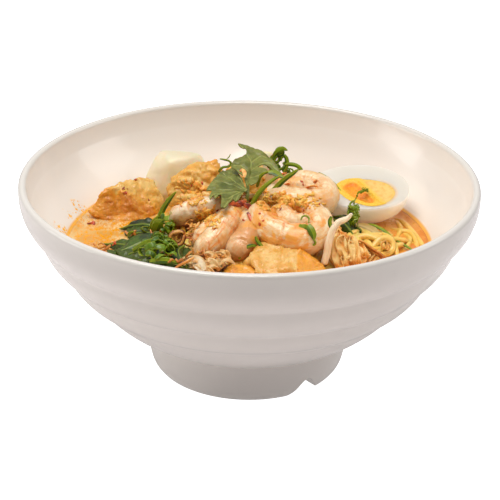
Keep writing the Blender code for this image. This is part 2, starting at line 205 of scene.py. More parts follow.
# %% [markdown]
# ## Shader maths as Python
# A material is a graph of nodes. Writing `1 - mask * 0.5` reads better than placing Math
# nodes, so a small class wraps a socket and turns each operator into the node it stands for.


# %% Colours and wires
def tint(red, green, blue):
    """A screen colour, 0 to 255, as the linear values that a shader works in."""
    linear = []
    for value in (red, green, blue):
        value /= 255
        linear.append(value / 12.92 if value < 0.04045 else ((value + 0.055) / 1.055) ** 2.4)
    return (*linear, 1.0)


def maths(operation, swapped=False, clamp=False):
    """A method of Wire that adds one Math node. Its second value is 0 where none is given."""
    def apply(self, other=0.0):
        first, second = (other, self) if swapped else (self, other)
        settings = {"operation": operation, "use_clamp": clamp}
        return self.graph.node("Math", settings, {0: first, 1: second})

    return apply


class Wire:
    """A value on its way through a graph."""

    def __init__(self, graph, socket):
        self.graph, self.socket = graph, socket

    __add__ = __radd__ = maths("ADD")
    __sub__, __rsub__ = maths("SUBTRACT"), maths("SUBTRACT", swapped=True)
    __mul__ = __rmul__ = maths("MULTIPLY")
    __pow__ = maths("POWER")
    clamped = maths("ADD", clamp=True)
    highest = maths("MAXIMUM")
    size, sine = maths("ABSOLUTE"), maths("SINE")

    def between(self, low, high):
        """0 below low, 1 above high, and a smooth step from one to the other."""
        settings = {"interpolation_type": "SMOOTHSTEP"}
        return self.graph.node("MapRange", settings, {0: self, 1: low, 2: high})

    def under(self, other, share):
        """This colour with another laid over it, as much as the share says."""
        return self.graph.mix(self, other, share)


# %% Graphs and paints
class Graph:
    """A tree of shader nodes being wired up."""

    def __init__(self, tree):
        self.tree = tree

    def link(self, socket, value):
        if isinstance(value, Wire):
            self.tree.links.new(value.socket, socket)
        else:
            socket.default_value = value

    def node(self, kind, settings=None, inputs=None, output=0):
        made_node = self.tree.nodes.new("ShaderNode" + kind)
        for key, value in (settings or {}).items():
            setattr(made_node, key, value)
        for key, value in (inputs or {}).items():
            self.link(made_node.inputs[key], value)
        return Wire(self, made_node.outputs[output])

    def axis(self, vector, name):
        return self.node("SeparateXYZ", None, {0: vector}, name)

    def mix(self, first, second, share):
        """The first colour turning into the second. Three plain numbers are a screen colour."""
        settings = {"data_type": "RGBA", "clamp_factor": True}
        inputs = {0: share}
        for key, colour in ((6, first), (7, second)):
            inputs[key] = colour if isinstance(colour, Wire) or len(colour) > 3 else tint(*colour)
        return self.node("Mix", settings, inputs, 2)


class Paint(Graph):
    """One material being wired up. Constants go straight to the shader's sockets."""

    def __init__(self, name, **constants):
        self.material = bpy.data.materials.new(name)
        self.material.use_nodes = True
        super().__init__(self.material.node_tree)
        self.shader = self.tree.nodes["Principled BSDF"]
        self.feed(**constants)

    def feed(self, **wires):
        for key, wire in wires.items():
            self.link(self.shader.inputs[key.replace("_", " ")], wire)
        return self.material

    def done(self, colour, roughness, height, relief, strength=0.5, **more):
        """The finished material, with a height of relief metres that the light shows up."""
        inputs = {"Height": height, "Distance": relief, "Strength": strength}
        normal = self.node("Bump", None, inputs)
        return self.feed(Base_Color=colour, Roughness=roughness, Normal=normal, **more)

    def place(self):
        """Object coordinates, in metres."""
        return self.node("TexCoord", output="Object")

    def body(self):
        """Coordinates on the straight blank that a piece was bent from, in millimetres."""
        return self.node("Attribute", {"attribute_name": "blank"}, output="Vector")

    def stretched(self, vector, scale):
        return self.node("Mapping", None, {"Vector": vector, "Scale": scale})

    def noise(self, vector, scale, detail=3.0, roughness=0.5, distortion=0.0):
        inputs = {"Vector": vector, "Scale": scale, "Detail": detail}
        inputs.update({"Roughness": roughness, "Distortion": distortion})
        return self.node("TexNoise", None, inputs)

    def cells(self, vector, scale, feature="F1"):
        inputs = {"Vector": vector, "Scale": scale}
        return self.node("TexVoronoi", {"feature": feature}, inputs, "Distance")


def moist(name, soft, reach, coat, coat_roughness, **more):
    """Wet food: light goes in, as deep as reach in metres, under a film of broth."""
    return Paint(name, Subsurface_Weight=soft, Subsurface_Scale=reach, Coat_Weight=coat,
                 Coat_Roughness=coat_roughness, **more)


# %% [markdown]
# ## Camera, floor and light
# The view is taken with a long lens from a little over a metre away, looking down by
# 24 degrees: close enough to see into the bowl, far enough that the rim is hardly stretched.
# The floor is a plain white sweep. What bounces light up at the bowl is a second, slightly
# grey table top in the same place, which the camera doesn't see.

# %% Camera
TARGET = Vector((0.78, 0.0, 68.25)) * MM
DISTANCE = 1150 * MM
ELEVATION = math.radians(24.21)
ROLL = math.radians(0.9)
FOCAL_LENGTH, SENSOR = 150.46, 36.0

scene = bpy.context.scene
lens = bpy.data.cameras.new("camera")
lens.lens, lens.sensor_width = FOCAL_LENGTH, SENSOR
lens.dof.use_dof = False
camera = bpy.data.objects.new("camera", lens)
scene.collection.objects.link(camera)
spot = TARGET + Vector((0, -math.cos(ELEVATION), math.sin(ELEVATION))) * DISTANCE
ahead = (TARGET - spot).normalized()
level = Vector((1, 0, 0))
over = level.cross(ahead)
right = level * math.cos(ROLL) + over * math.sin(ROLL)
up = over * math.cos(ROLL) - level * math.sin(ROLL)
axes = Matrix((right, up, -ahead)).transposed().to_4x4()
camera.matrix_world = Matrix.Translation(spot) @ axes
scene.camera = camera
scene.view_settings.view_transform = "Standard"
print("camera at", [round(value, 3) for value in spot])


# %% Floor
def flat_stage(name, half, height, colour, glow):
    clear_selection()
    bpy.ops.mesh.primitive_plane_add(size=2 * half, location=(0, 0, height))
    settle()
    floor = named(name)
    paint = Paint(name + "_paint", Roughness=0.9, Specular_IOR_Level=0.0, Base_Color=colour,
                  Emission_Color=(1, 1, 1, 1), Emission_Strength=glow)
    floor.data.materials.append(paint.material)
    return floor


sweep = flat_stage("white_sweep", 6.0, -0.4 * MM, (0.9, 0.9, 0.9, 1), 1.0)
sweep.visible_diffuse = sweep.visible_glossy = sweep.visible_transmission = False
sweep.visible_shadow = False
table = flat_stage("table_top", 0.55, -0.2 * MM, (0.60, 0.567, 0.581, 1), 0.217)
table.visible_camera = False
print("floor made")

# %% Lights
# Name, place, the height above the floor that it aims at, width, height, watts, colour.
SOFTBOXES = [
    ("overhead", (-0.2, -0.18, 1.3), 0.08, 1.3, 0.5, 13.9, (1.0, 0.98, 0.94)),
    ("left_window", (-1.25, 0.02, 0.3), 0.06, 0.7, 0.5, 3.5, (1.0, 0.985, 0.96)),
    ("right_fill", (1.25, 0.1, 0.7), 0.06, 0.7, 0.7, 3.5, (1.0, 0.98, 0.97)),
]
for name, place, aim, width, height, power, warmth in SOFTBOXES:
    light = bpy.data.lights.new(name, "AREA")
    light.shape, light.size, light.size_y = "RECTANGLE", width, height
    light.energy, light.color = power, warmth
    lamp = bpy.data.objects.new(name, light)
    scene.collection.objects.link(lamp)
    lamp.location = place
    lamp.rotation_euler = (Vector((0, 0, aim)) - Vector(place)).to_track_quat("-Z", "Y").to_euler()
print("lights:", [row[0] for row in SOFTBOXES])

# %% The room that the gloss mirrors
# It is lighter overhead. Its front, where the camera stands, is dark.
SKY = [
    (0.0, (0.34, 0.335, 0.34, 1)), (0.28, (0.46, 0.455, 0.455, 1)), (0.75, (0.64, 0.63, 0.62, 1)),
]
DARK_FRONT = (0.06, 0.06, 0.062, 1)

scene.world = bpy.data.worlds.new("studio")
scene.world.use_nodes = True
room = Graph(scene.world.node_tree)
facing = room.node("TexCoord", output="Generated")
rise = room.axis(facing, "Z")
sky = room.node("ValToRGB", None, {0: rise})
stops = sky.socket.node.color_ramp.elements
stops.new(0.5)
for stop, (position, colour) in zip(stops, SKY):
    stop.position, stop.color = position, colour
front = room.node("MapRange", None, {0: room.axis(facing, "Y"), 1: 0.25, 2: -0.2})
low_down = room.node("MapRange", None, {0: rise, 1: 0.95, 2: 0.6})
backdrop = room.tree.nodes["Background"]
room.link(backdrop.inputs["Color"], sky.under(DARK_FRONT, front * low_down))
backdrop.inputs["Strength"].default_value = 1.0
print("sky stops:", len(stops))

# %% [markdown]
# ## The bowl
# The real bowl is moulded melamine: one smooth wall inside, and outside four bands that
# bulge between soft creases, over a foot ring with two drain notches. A turned thing is best
# made by spinning its profile, so one vertex is extruded along the outline and the outline is
# spun about the axis. The notches are then cut with a bar, as a file would cut them.

# %% Bowl sizes
RIM, _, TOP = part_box("bowl")[1]
LIP = 2.2 * MM
CREASES = [(115.1, 84.7), (101.8, 64.9), (87.9, 48.5), (59.0, 25.6)]
BULGES = [3.1, 2.2, 2.0, 2.2]
INSIDE = [(0, 28.5), (42, 29.5), (60, 34.5), (79.5, 48.5), (90.2, 60), (99.6, 72.3), (112, 88),
          (118.3, 100)]
FOOT = [(55.3, 24.2), (55.0, 16), (53.2, 7), (50.6, 2.6), (48.2, 0.7), (46.4, 0)]
FOOT_INSIDE = [(42.7, 0), (41.5, 1.2), (44, 19), (41, 22), (0, 22)]
NOTCH_TURN = math.radians(-52)
NOTCH_WIDTH, NOTCH_HEIGHT = 26 * MM, 11.5 * MM
SOUP_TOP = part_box("soup")[1].z
print(f"rim {RIM / MM:.1f} mm, height {TOP / MM:.1f} mm, soup at {SOUP_TOP / MM:.1f} mm")


# %% Spinning a profile
def rounded(points, steps):
    """A smooth curve through the points, which may be 2-D or 3-D."""
    rows = [Vector(p) for p in points]
    curve = []
    for i in range(len(rows) - 1):
        a, b, c, d = (rows[max(0, min(len(rows) - 1, i + k))] for k in (-1, 0, 1, 2))
        for step in range(steps):
            t = step / steps
            curve.append(0.5 * (2 * b + (c - a) * t + (2 * a - 5 * b + 4 * c - d) * t**2
                                + (3 * b - a - 3 * c + d) * t**3))
    return curve + [rows[-1]]


def spun(name, profile, segments):
    """Extrudes one vertex along (radius, height) points in millimetres and spins them."""
    clear_selection()
    first = Vector((profile[0][0], 0, profile[0][1])) * MM
    bpy.ops.mesh.primitive_plane_add(size=MM, location=first)
    settle()
    piece = named(name)
    bpy.ops.object.mode_set(mode="EDIT")
    bpy.ops.mesh.select_all(action="SELECT")
    bpy.ops.mesh.merge(type="CENTER")
    for (r0, z0), (r1, z1) in zip(profile, profile[1:]):
        extrude((r1 - r0) * MM, 0, (z1 - z0) * MM)
    bpy.ops.mesh.select_all(action="SELECT")
    bpy.ops.mesh.spin(steps=segments, angle=2 * math.pi, center=(0, 0, 0), axis=(0, 0, 1))
    return tidy(piece)


def bands():
    """The outside from the lip to the foot: each band bulges, and its crease is rounded."""
    ends = [(RIM / MM, (TOP - LIP) / MM)] + CREASES
    points = []
    for (r0, z0), (r1, z1), bulge in zip(ends, ends[1:], BULGES):
        along = Vector((r1 - r0, z1 - z0))
        out = Vector((-along.y, along.x)).normalized()
        for step in range(1, 12):
            t = step / 12
            points.append(Vector((r0, z0)) + along * t + out * 4 * bulge * t * (1 - t))
        points.append(Vector((r1, z1)) + out * 0.05)
    return [tuple(p) for p in points]


lip = []
for degrees in range(180, -1, -20):
    a = math.radians(degrees)
    lip.append(((RIM - LIP + LIP * math.cos(a)) / MM, (TOP - LIP + LIP * math.sin(a)) / MM))
inside = [tuple(p) for p in rounded(INSIDE, 6)]
profile = inside + lip + bands() + [tuple(p) for p in rounded(FOOT, 4)] + FOOT_INSIDE
bowl = spun("noodle_bowl", profile, 180)
print("bowl profile:", len(profile), "points")

# %% Filing the two drain notches
clear_selection()
bpy.ops.mesh.primitive_grid_add(x_subdivisions=24, y_subdivisions=1, size=1)
file_bar = named("notch_file")
moved(file_bar, lambda p, n: Vector((52 * MM + p.y * 28 * MM, p.x * NOTCH_WIDTH, 0)))
pick(file_bar)
extrude(0, 0, -4 * MM)


def notch_place(p, n):
    """The bar's top is one wave of a cosine, and its bottom stays flat under the foot."""
    arch = NOTCH_HEIGHT / 2 * (1 + math.cos(2 * math.pi * p.y / NOTCH_WIDTH))
    return p if p.z < -MM else Vector((p.x, p.y, arch + 0.02 * MM))


tidy(moved(file_bar, notch_place))
for turn in (NOTCH_TURN, NOTCH_TURN + math.pi):
    bar = copy_of(file_bar)
    bar.data.transform(Matrix.Rotation(turn, 4, "Z"))
    modify(bowl, "BOOLEAN", operation="DIFFERENCE", solver="EXACT", object=bar)
    bpy.data.objects.remove(bar, do_unlink=True)
bpy.data.objects.remove(file_bar, do_unlink=True)
only(bowl)
bpy.ops.object.shade_smooth_by_angle(angle=math.radians(50))
print(f"two notches, {NOTCH_WIDTH / MM:.0f} mm wide and {NOTCH_HEIGHT / MM:.1f} mm high")


# %% [markdown]
# ### Melamine glaze
# Melamine is a warm white plastic with a soft, even gloss. Just above the broth the wall is
# stained by the orange oil that has slopped up it.

# %% Melamine glaze
def melamine():
    paint = Paint("melamine", Roughness=0.25, Coat_Weight=0.35, Coat_Roughness=0.06)
    place = paint.place()
    x, y, z = (paint.axis(place, name) for name in "XYZ")
    away = (x * x + y * y) ** 0.5
    height = z - SOUP_TOP
    is_inside = 1 - (away - height * 0.78 - 0.1015).between(0.0, 0.002)
    film = (1 - height.between(0.003, 0.013)) * height.between(-0.004, -0.002)
    to_left, to_back = (0 - x).between(0.02, 0.06), y.between(0.034, 0.046)
    patch = paint.noise(place, 60, 3, 0.6).between(0.44, 0.56) * (0.25 + to_left * 0.75)
    patch = patch * (1 - to_back)
    smear = paint.noise(place, 34, 2)
    beads = 1 - (paint.cells(place, 210) + smear * 0.12).between(0.32, 0.42)
    small = 1 - paint.cells(place, 560).between(0.3, 0.42)
    stained = (film * patch).between(0.2, 0.5) * beads.highest(small)
    line = 1 - (height - 0.0006).size().between(0.0004, 0.0016)
    stain = (stained.highest(line * 0.9) * is_inside).clamped()
    # The turned lip is painted a little greyer: painted shade that dims the bright light it
    # catches.
    white = paint.mix((243, 237, 230), (224, 219, 213), (z - TOP).between(-0.003, -0.0005))
    return paint.feed(Base_Color=white.under((255, 190, 42), stain))


finish_piece(bowl, melamine(), "bowl", "bowl")

# %% [markdown]
# ## The broth
# Coconut broth is thick, and fat gathers on it: cream patches, orange chilli oil that breaks
# into drops, and a thin rim that climbs the wall. The body is spun like the bowl, out to the
# wall, and its top is then lifted by noise into low froth.

# %% Broth body
BROTH_RADIUS = 99.1


def swell(x, y):
    """How far froth and the climb at the wall lift the broth at a place."""
    away = math.hypot(x, y) / (BROTH_RADIUS * MM)
    climb = 0.9 * MM * max(0.0, away - 0.97) / 0.03
    froth = noise.noise(Vector((x, y, 0)) * 95) * 0.28 + noise.noise(Vector((x, y, 1)) * 330) * 0.14
    return froth * MM + climb


level = SOUP_TOP / MM
wall = [(r - 0.45, z) for r, z in INSIDE if z < level]
broth_outline = [(BROTH_RADIUS * i / 110, level) for i in range(111)]
broth_outline += [(98.0, level - 2.2)] + wall[::-1][1:-1] + [(0, 29.2)]
broth = spun("broth", broth_outline, 200)
moved(broth, lambda p, n: p + Vector((0, 0, swell(p.x, p.y) if p.z > SOUP_TOP - MM / 2 else 0)))
print("broth top rises to", round(max(v.co.z for v in broth.data.vertices) / MM, 2), "mm")


# %% Broth finish
def broth_finish():
    paint = Paint("coconut_broth", Specular_IOR_Level=0.35, Coat_Weight=0.12, Coat_Roughness=0.08)
    place = paint.place()
    x, y = paint.axis(place, "X"), paint.axis(place, "Y")
    left = (-0.02 - x).between(-0.02, 0.045)
    patches = paint.noise(place, 26, 5, 0.64, 0.8)
    grain = paint.noise(paint.stretched(place, (1, 0.5, 1)), 430, 4, 0.72)
    drops = paint.cells(paint.stretched(place, (1, 1, 0)), 330)
    spot = ((x + 0.077) ** 2 + (y - 0.010) ** 2) ** 0.5
    pool = 1 - spot.between(0.006, 0.034)
    oil = (patches * 1.7 - 0.54 + pool * 0.25 + (grain - 0.5) * 3.6).clamped()
    curd = paint.noise(place, 60, 4).between(0.36, 0.62)
    cream = paint.mix((212, 158, 76), (236, 204, 146), curd)
    gold = paint.mix((208, 118, 0), (232, 158, 0), grain.between(0.4, 0.62))
    colour = paint.mix(cream, gold, oil.between(0.24, 0.58))
    deep = paint.noise(place, 34, 4, 0.6, 0.4).between(0.46, 0.66)
    right_side = paint.mix((214, 124, 20), (238, 176, 80), patches.between(0.4, 0.6))
    colour = paint.mix(right_side, colour, (left + deep * 0.25).clamped())
    bead = (1 - drops.between(0.10, 0.30)) * patches.between(0.45, 0.6)
    colour = colour.under((252, 190, 70), bead * 0.7)
    # Foam: small bubbles whose walls are pale, and dark specks of spice.
    foam = paint.noise(place, 26, 4, 0.6).between(0.48, 0.6) * left.clamped()
    walls = paint.cells(place, 620, "DISTANCE_TO_EDGE")
    bubble = (1 - walls.between(0.0, 0.16)) * foam
    colour = colour.under((240, 206, 160), bubble * 0.75)
    colour = colour.under((206, 128, 44), foam * walls.between(0.2, 0.5) * 0.4)
    speck = (1 - paint.cells(place, 150).between(0.05, 0.12)) * patches.between(0.46, 0.52)
    colour = colour.under((150, 66, 24), speck * 0.8)
    height = grain * 0.35 + bead * 0.5 + patches * 0.4 + bubble * 0.8
    return paint.done(colour, 0.42 - oil * 0.2, height, 0.0007, 0.6)


finish_piece(broth, broth_finish(), "broth", "soup")

# %% [markdown]
# ## Noodles
# A heap of noodles is hundreds of slippery cords that lie where they fell. A low mound makes
# the mass that no eye sees into, and on it each strand is laid in turn: it wanders over the
# plan, and its height is whatever lies under it already, so that strands cross over and under.
#
# One straight strand is made by extruding a ring, and each noodle is a copy of it, bent along
# its own track. The same bending serves prawns, stems and sprouts, so it is a helper.

# %% Straight blanks and bent pieces
blanks = []


def straight_blank(name, sides, rings):
    """A closed tube of radius 1 along X from 0 to 1, made by extruding a ring."""
    clear_selection()
    bpy.ops.mesh.primitive_circle_add(vertices=sides, radius=1, fill_type="TRIFAN",
                                      rotation=(0, math.pi / 2, 0))
    settle()
    piece = named(name)
    bpy.ops.object.mode_set(mode="EDIT")
    bpy.ops.mesh.select_all(action="SELECT")
    for _ in range(rings):
        extrude(1 / rings, 0, 0)
    blanks.append(piece)
    return tidy(piece, merge=1e-5)


def lay_along(piece, track, hint, smooth=8, closed_ends=True):
    """Bends a blank onto a track of (x, y, z, half width along the hint, half depth across it)
    in millimetres, and keeps its straight shape in the attribute 'blank' for its finish."""
    rows = np.array([tuple(row) for row in rounded(track, smooth)])
    spans = np.linalg.norm(np.diff(rows[:, :3], axis=0), axis=1)
    along = np.concatenate([[0], np.cumsum(spans)])
    length = along[-1]
    tangent = np.gradient(rows[:, :3], axis=0)
    tangent /= np.linalg.norm(tangent, axis=1)[:, None]
    out = np.cross(np.array(hint, float), tangent)
    out /= np.linalg.norm(out, axis=1)[:, None]
    over = np.cross(tangent, out)
    places = np.zeros(len(piece.data.vertices) * 3)
    piece.data.vertices.foreach_get("co", places)
    places = places.reshape(-1, 3)
    t = places[:, 0] * length

    def at(values):
        return np.stack([np.interp(t, along, column) for column in values.T], 1)

    size = at(rows[:, 3:])
    wide, deep = size[:, :1], size[:, -1:]
    if closed_ends:
        near = np.minimum(t, length - t)[:, None]
        cap = np.clip(near / np.maximum(wide, 0.1), 0.0, 1.0)
        round_off = np.sqrt(np.clip(1 - (1 - cap) ** 2, 0.02, 1))
        wide, deep = wide * round_off, deep * round_off
    y, z = places[:, 1:2] * deep, places[:, 2:3] * wide
    bent = at(rows[:, :3]) + at(out) * y + at(over) * z
    piece.data.vertices.foreach_set("co", (bent * MM).ravel())
    keep(piece, np.concatenate([t[:, None], y, z], axis=1).astype(np.float32).ravel())
    piece.data.update()
    return piece


# %% The mound under the noodles
def heap_height(x, y):
    """Height of the noodle heap in millimetres at a place in millimetres."""
    mound = 26 * math.exp(-(((x - 5) ** 2 + (y - 8) ** 2) / 48**2))
    shoulder = 8.5 * math.exp(-(((x - 74) ** 2 + (y + 4) ** 2) / 22**2))
    return 65 + mound + shoulder + noise.noise(Vector((x, y, 0)) * 0.06) * 1.6


clear_selection()
bpy.ops.mesh.primitive_grid_add(x_subdivisions=110, y_subdivisions=110, size=176 * MM)
mound = named("noodle_mound")
pick(mound, lambda p: math.hypot(p.x, p.y) > 86 * MM)
bpy.ops.mesh.delete(type="VERT")
pick(mound)
extrude(0, 0, 50 * MM)


def mound_place(p, n):
    x, y = p.x / MM, p.y / MM
    if p.z < MM:
        return Vector((p.x * 0.8, p.y * 0.8, 50 * MM))
    lumps = noise.noise(Vector((x, y, 3)) * 0.22) * 1.1
    lumps += noise.noise(Vector((x, y, 5)) * 0.6) * 0.5
    return Vector((p.x, p.y, (heap_height(x, y) - 3.2 + lumps) * MM))


tidy(moved(mound, mound_place))
print("mound:", triangles(mound), "triangles")

# %% Laying the strands
STRAND = 1.5
HALF = 100
# The heap's top under the next strand, in millimetres, on a grid with a cell a millimetre.
ground = np.array([[heap_height(x, y) - 3.4 for y in range(-HALF, HALF + 1)]
                   for x in range(-HALF, HALF + 1)])


def cell(value):
    return max(0, min(2 * HALF, int(round(value)) + HALF))


def lay_strand(plan):
    """Heights for a strand over a plan path, and the heap raised where it lies."""
    base = [ground[cell(x), cell(y)] for x, y in plan]
    track = []
    for i, (x, y) in enumerate(plan):
        near = base[max(0, i - 3): i + 4]
        height = 0.55 * max(near) + 0.45 * sum(near) / len(near) + STRAND * 0.8
        track.append((x, y, min(height, heap_height(x, y) + 1.2), STRAND))
    for x, y, height, _ in track:
        for i in (-1, 0, 1):
            for j in (-1, 0, 1):
                a, b = cell(x + i), cell(y + j)
                ground[a, b] = max(ground[a, b], height + STRAND * (0.8 if i == j == 0 else 0.35))
    return track


chance = random.Random(11)
tracks = []
for count in range(150):
    reach = 66 * math.sqrt(chance.random())
    around = chance.uniform(0, 2 * math.pi)
    x, y = 5 + reach * math.cos(around), 6 + reach * math.sin(around)
    heading = around + chance.choice((-1, 1)) * chance.uniform(0.9, 2.2)
    bend, plan = chance.uniform(-0.12, 0.12), []
    for _ in range(chance.randint(14, 26)):
        plan.append((x, y))
        bend = 0.86 * bend + chance.uniform(-0.09, 0.09)
        far = math.hypot(x - 5, y - 6) > 60
        heading += bend + math.sin(math.atan2(6 - y, 5 - x) - heading) * 0.14 * far
        x, y = x + 3.2 * math.cos(heading), y + 3.2 * math.sin(heading)
    tracks.append(lay_strand(plan))
# The loops that stand at the right, over the rim of the heap.
tracks += [
    [(60, -16, 74.5, 1.7), (66.5, -12.6, 76, 1.8), (69.2, -10.4, 78, 1.85), (71.8, -8.6, 79.8, 1.9),
     (75.6, -7.6, 79.8, 1.9), (78.4, -8.6, 77.6, 1.9), (78.2, -11.4, 74.6, 1.85),
     (75.2, -14, 73.4, 1.8), (71, -16, 73.6, 1.75), (66, -18, 73.4, 1.6)],
    [(57, -7.4, 78.4, 1.7), (60.2, -6, 79.4, 1.8), (64, -5.4, 80, 1.85), (69, -7.4, 79.6, 1.8),
     (72.6, -10.4, 77.4, 1.7), (73, -13, 75, 1.5)],
    [(80, 40, 70.2, 1.6), (84.4, 36, 71.6, 1.7), (87.4, 31, 72.2, 1.7), (90, 22, 72.6, 1.7),
     (93, 11, 72.6, 1.7), (95.6, 1, 71.8, 1.6), (95.6, -6, 70.6, 1.5)],
    [(78, 25, 70.8, 1.5), (84.2, 19.6, 72.4, 1.7), (89.2, 16.8, 72.8, 1.7), (92, 8, 72.6, 1.6),
     (92.6, -2, 71, 1.5)],
    [(83, 36, 71, 1.4), (84, 29, 72.6, 1.4), (85, 22, 72.8, 1.4), (83, 14, 72, 1.4),
     (80, 7, 71, 1.4)],
    [(86, 18, 71, 1.4), (89, 10, 72.6, 1.4), (88, 1, 72.6, 1.4), (84, -6, 71, 1.4)],
]
strand_blank = straight_blank("strand_blank", 7, 44)
strands = [lay_along(copy_of(strand_blank), track, (0, 0, 1), 3) for track in tracks]
noodle_strands = joined(strands, "noodle_strands")
print("strands:", len(tracks))


# %% Noodle finishes
def noodle_finish(name, soaked):
    """Yellow wheat noodle, slick with broth; the mound under it is darker, soaked through."""
    paint = moist(name, 0.25, 0.002, 0.3, 0.15)
    place = paint.place()
    broad, fine = paint.noise(place, 34, 3), paint.noise(place, 260, 3, 0.6)
    if soaked:
        colour = paint.mix((150, 74, 22), (214, 134, 50), broad.between(0.35, 0.65))
    else:
        colour = paint.mix((232, 182, 68), (242, 202, 104), broad.between(0.35, 0.62))
        stained = paint.noise(place, 58, 4, 0.6).between(0.5, 0.68)
        colour = colour.under((226, 152, 58), stained * 0.75)
    colour = colour.under((196, 112, 34), fine.between(0.6, 0.75) * 0.35)
    return paint.done(colour, 0.3 + fine * 0.15, fine, 0.0004, 0.5)


finish_piece(mound, noodle_finish("soaked_noodle", True), "noodles")
finish_piece(noodle_strands, noodle_finish("wheat_noodle", False), "noodles", "noodles")

# %% [markdown]
# ## Prawns
# A cooked, peeled prawn is a row of plump segments, each overlapping the next, that curls up
# towards its belly. Its back has been slit to draw the vein. It is modelled straight, where a
# segment is just a bulge along X, and then bent along its curl.

# %% A straight prawn
prawn_blank = straight_blank("prawn_blank", 40, 110)


def prawn_part(hint, track, slit, seed, segments=6.0):
    """One length of prawn laid along its curl. Its +Y side is the outer side of the curl."""
    def flesh(p, n):
        turn = math.atan2(p.z, p.y)
        wander = noise.noise(Vector((p.x * 3, p.y, p.z)) + Vector((seed, 0, seed))) * 0.35
        step = (p.x * segments + wander) % 1.0
        overlap = 0.11 * step - 0.12 * max(0.0, (step - 0.88) / 0.12) ** 2
        back = max(0.0, math.cos(turn + 0.12 * wander))
        groove = slit * back**26 * min(1.0, p.x * 7, (1 - p.x) * 9 + 0.1)
        lips = slit * 0.3 * back**6
        rough = noise.noise(Vector((p.x * 16, p.y * 2.4, p.z * 2.4)) + Vector((0, seed, 0))) * 0.045
        rough += noise.noise(Vector((p.x * 40, p.y * 5, p.z * 5)) - Vector((0, seed, 0))) * 0.03
        size = 1 + overlap + lips - groove + rough
        return Vector((p.x, p.y * size, p.z * size))

    piece = copy_of(prawn_blank)
    moved(piece, flesh)
    return lay_along(piece, track, hint)


def prawn(name, node, finish, *parts):
    piece = tidy(joined([prawn_part(*part) for part in parts], name))
    finish_piece(piece, finish, "prawn", node)


# %% Prawn flesh
def prawn_flesh(name, stained, shade=None, lift=0.0):
    """Cream flesh; stained says how strongly chilli oil and the prawn's own red show,
    shade is the middle and reach of a part painted darker, a painted shade with some broth
    stain, and lift paints it paler, a painted light."""
    paint = moist(name, 0.25, 0.003, 0.4, 0.12, Subsurface_Radius=(1.0, 0.6, 0.35))
    body, place = paint.body(), paint.place()
    x, y, z = (paint.axis(body, name) for name in "XYZ")
    cloud = paint.noise(body, 0.16, 4, 0.6)
    fine = paint.noise(body, 0.9, 4, 0.65)
    pale = paint.mix((232, 190, 136), (247, 222, 180), cloud.between(0.36, 0.6))
    # Painted light: lift mixes in a pale cream, so that a prawn lying in shade reads paler.
    pale = pale.under((255, 240, 212), lift)
    muscle = paint.noise(paint.stretched(body, (0.25, 1.4, 1.4)), 0.7, 4, 0.6)
    pale = pale.under((234, 172, 92), muscle.between(0.48, 0.66) * 0.6 * stained)
    # Painted shade: round the given middle the flesh is painted darker, where the lobe lies in
    # shadow; broth has also stained it.
    if shade is not None:
        *middle, reach = shade
        squares = [(paint.axis(place, name) - at) ** 2 for name, at in zip("XYZ", middle)]
        near = 1 - (sum(squares) ** 0.5).between(reach * 0.55, reach)
        pale = pale.under((208, 138, 66), near * (0.6 + cloud * 0.4))
    sauce = paint.noise(place, 70, 5, 0.62, 0.4).between(0.51, 0.58)
    pale = pale.under((238, 162, 44), sauce * 0.85 * stained)
    # The back is stained orange, and orange-red bars cross it near each segment's edge.
    along = paint.noise(paint.stretched(body, (0.5, 1, 1)), 0.5, 4, 0.6)
    back = y.between(1.2, 5.0) * along.between(0.4, 0.6)
    pale = pale.under((236, 154, 48), back * 0.75 * stained)
    wave = (x * 0.95 + paint.noise(body, 0.14, 3) * 7.0 + z * 0.25).sine()
    bars = wave.between(0.6, 0.95) * paint.noise(body, 0.33, 3, 0.6).between(0.45, 0.62)
    outer = y.between(-1.5, 4.5)
    streak = paint.noise(paint.stretched(body, (0.14, 0.9, 0.9)), 0.75, 4, 0.6)
    red = bars * 0.85 + streak.between(0.53, 0.66)
    red = (red * (0.35 + outer * 0.65) * stained).clamped()
    colour = pale.under((222, 136, 70), wave.between(0.88, 0.98) * outer * 0.5)
    colour = colour.under((234, 128, 30), red)
    colour = colour.under((214, 86, 20), red * fine.between(0.52, 0.64) * 0.5)
    dip = 1 - paint.axis(place, "Z").between(0.078, 0.092)
    colour = colour.under((212, 132, 58), dip * 0.55)
    return paint.done(colour, 0.26 + fine * 0.16, fine * 0.5 + muscle * 0.6, 0.0008, 0.55)


prawn_paint = prawn_flesh("prawn_flesh", 1.0)
# The prawn behind lies in shade under the torn tofu; it is painted paler, a painted light.
pale_prawn = prawn_flesh("prawn_flesh_pale", 0.75, lift=0.6)

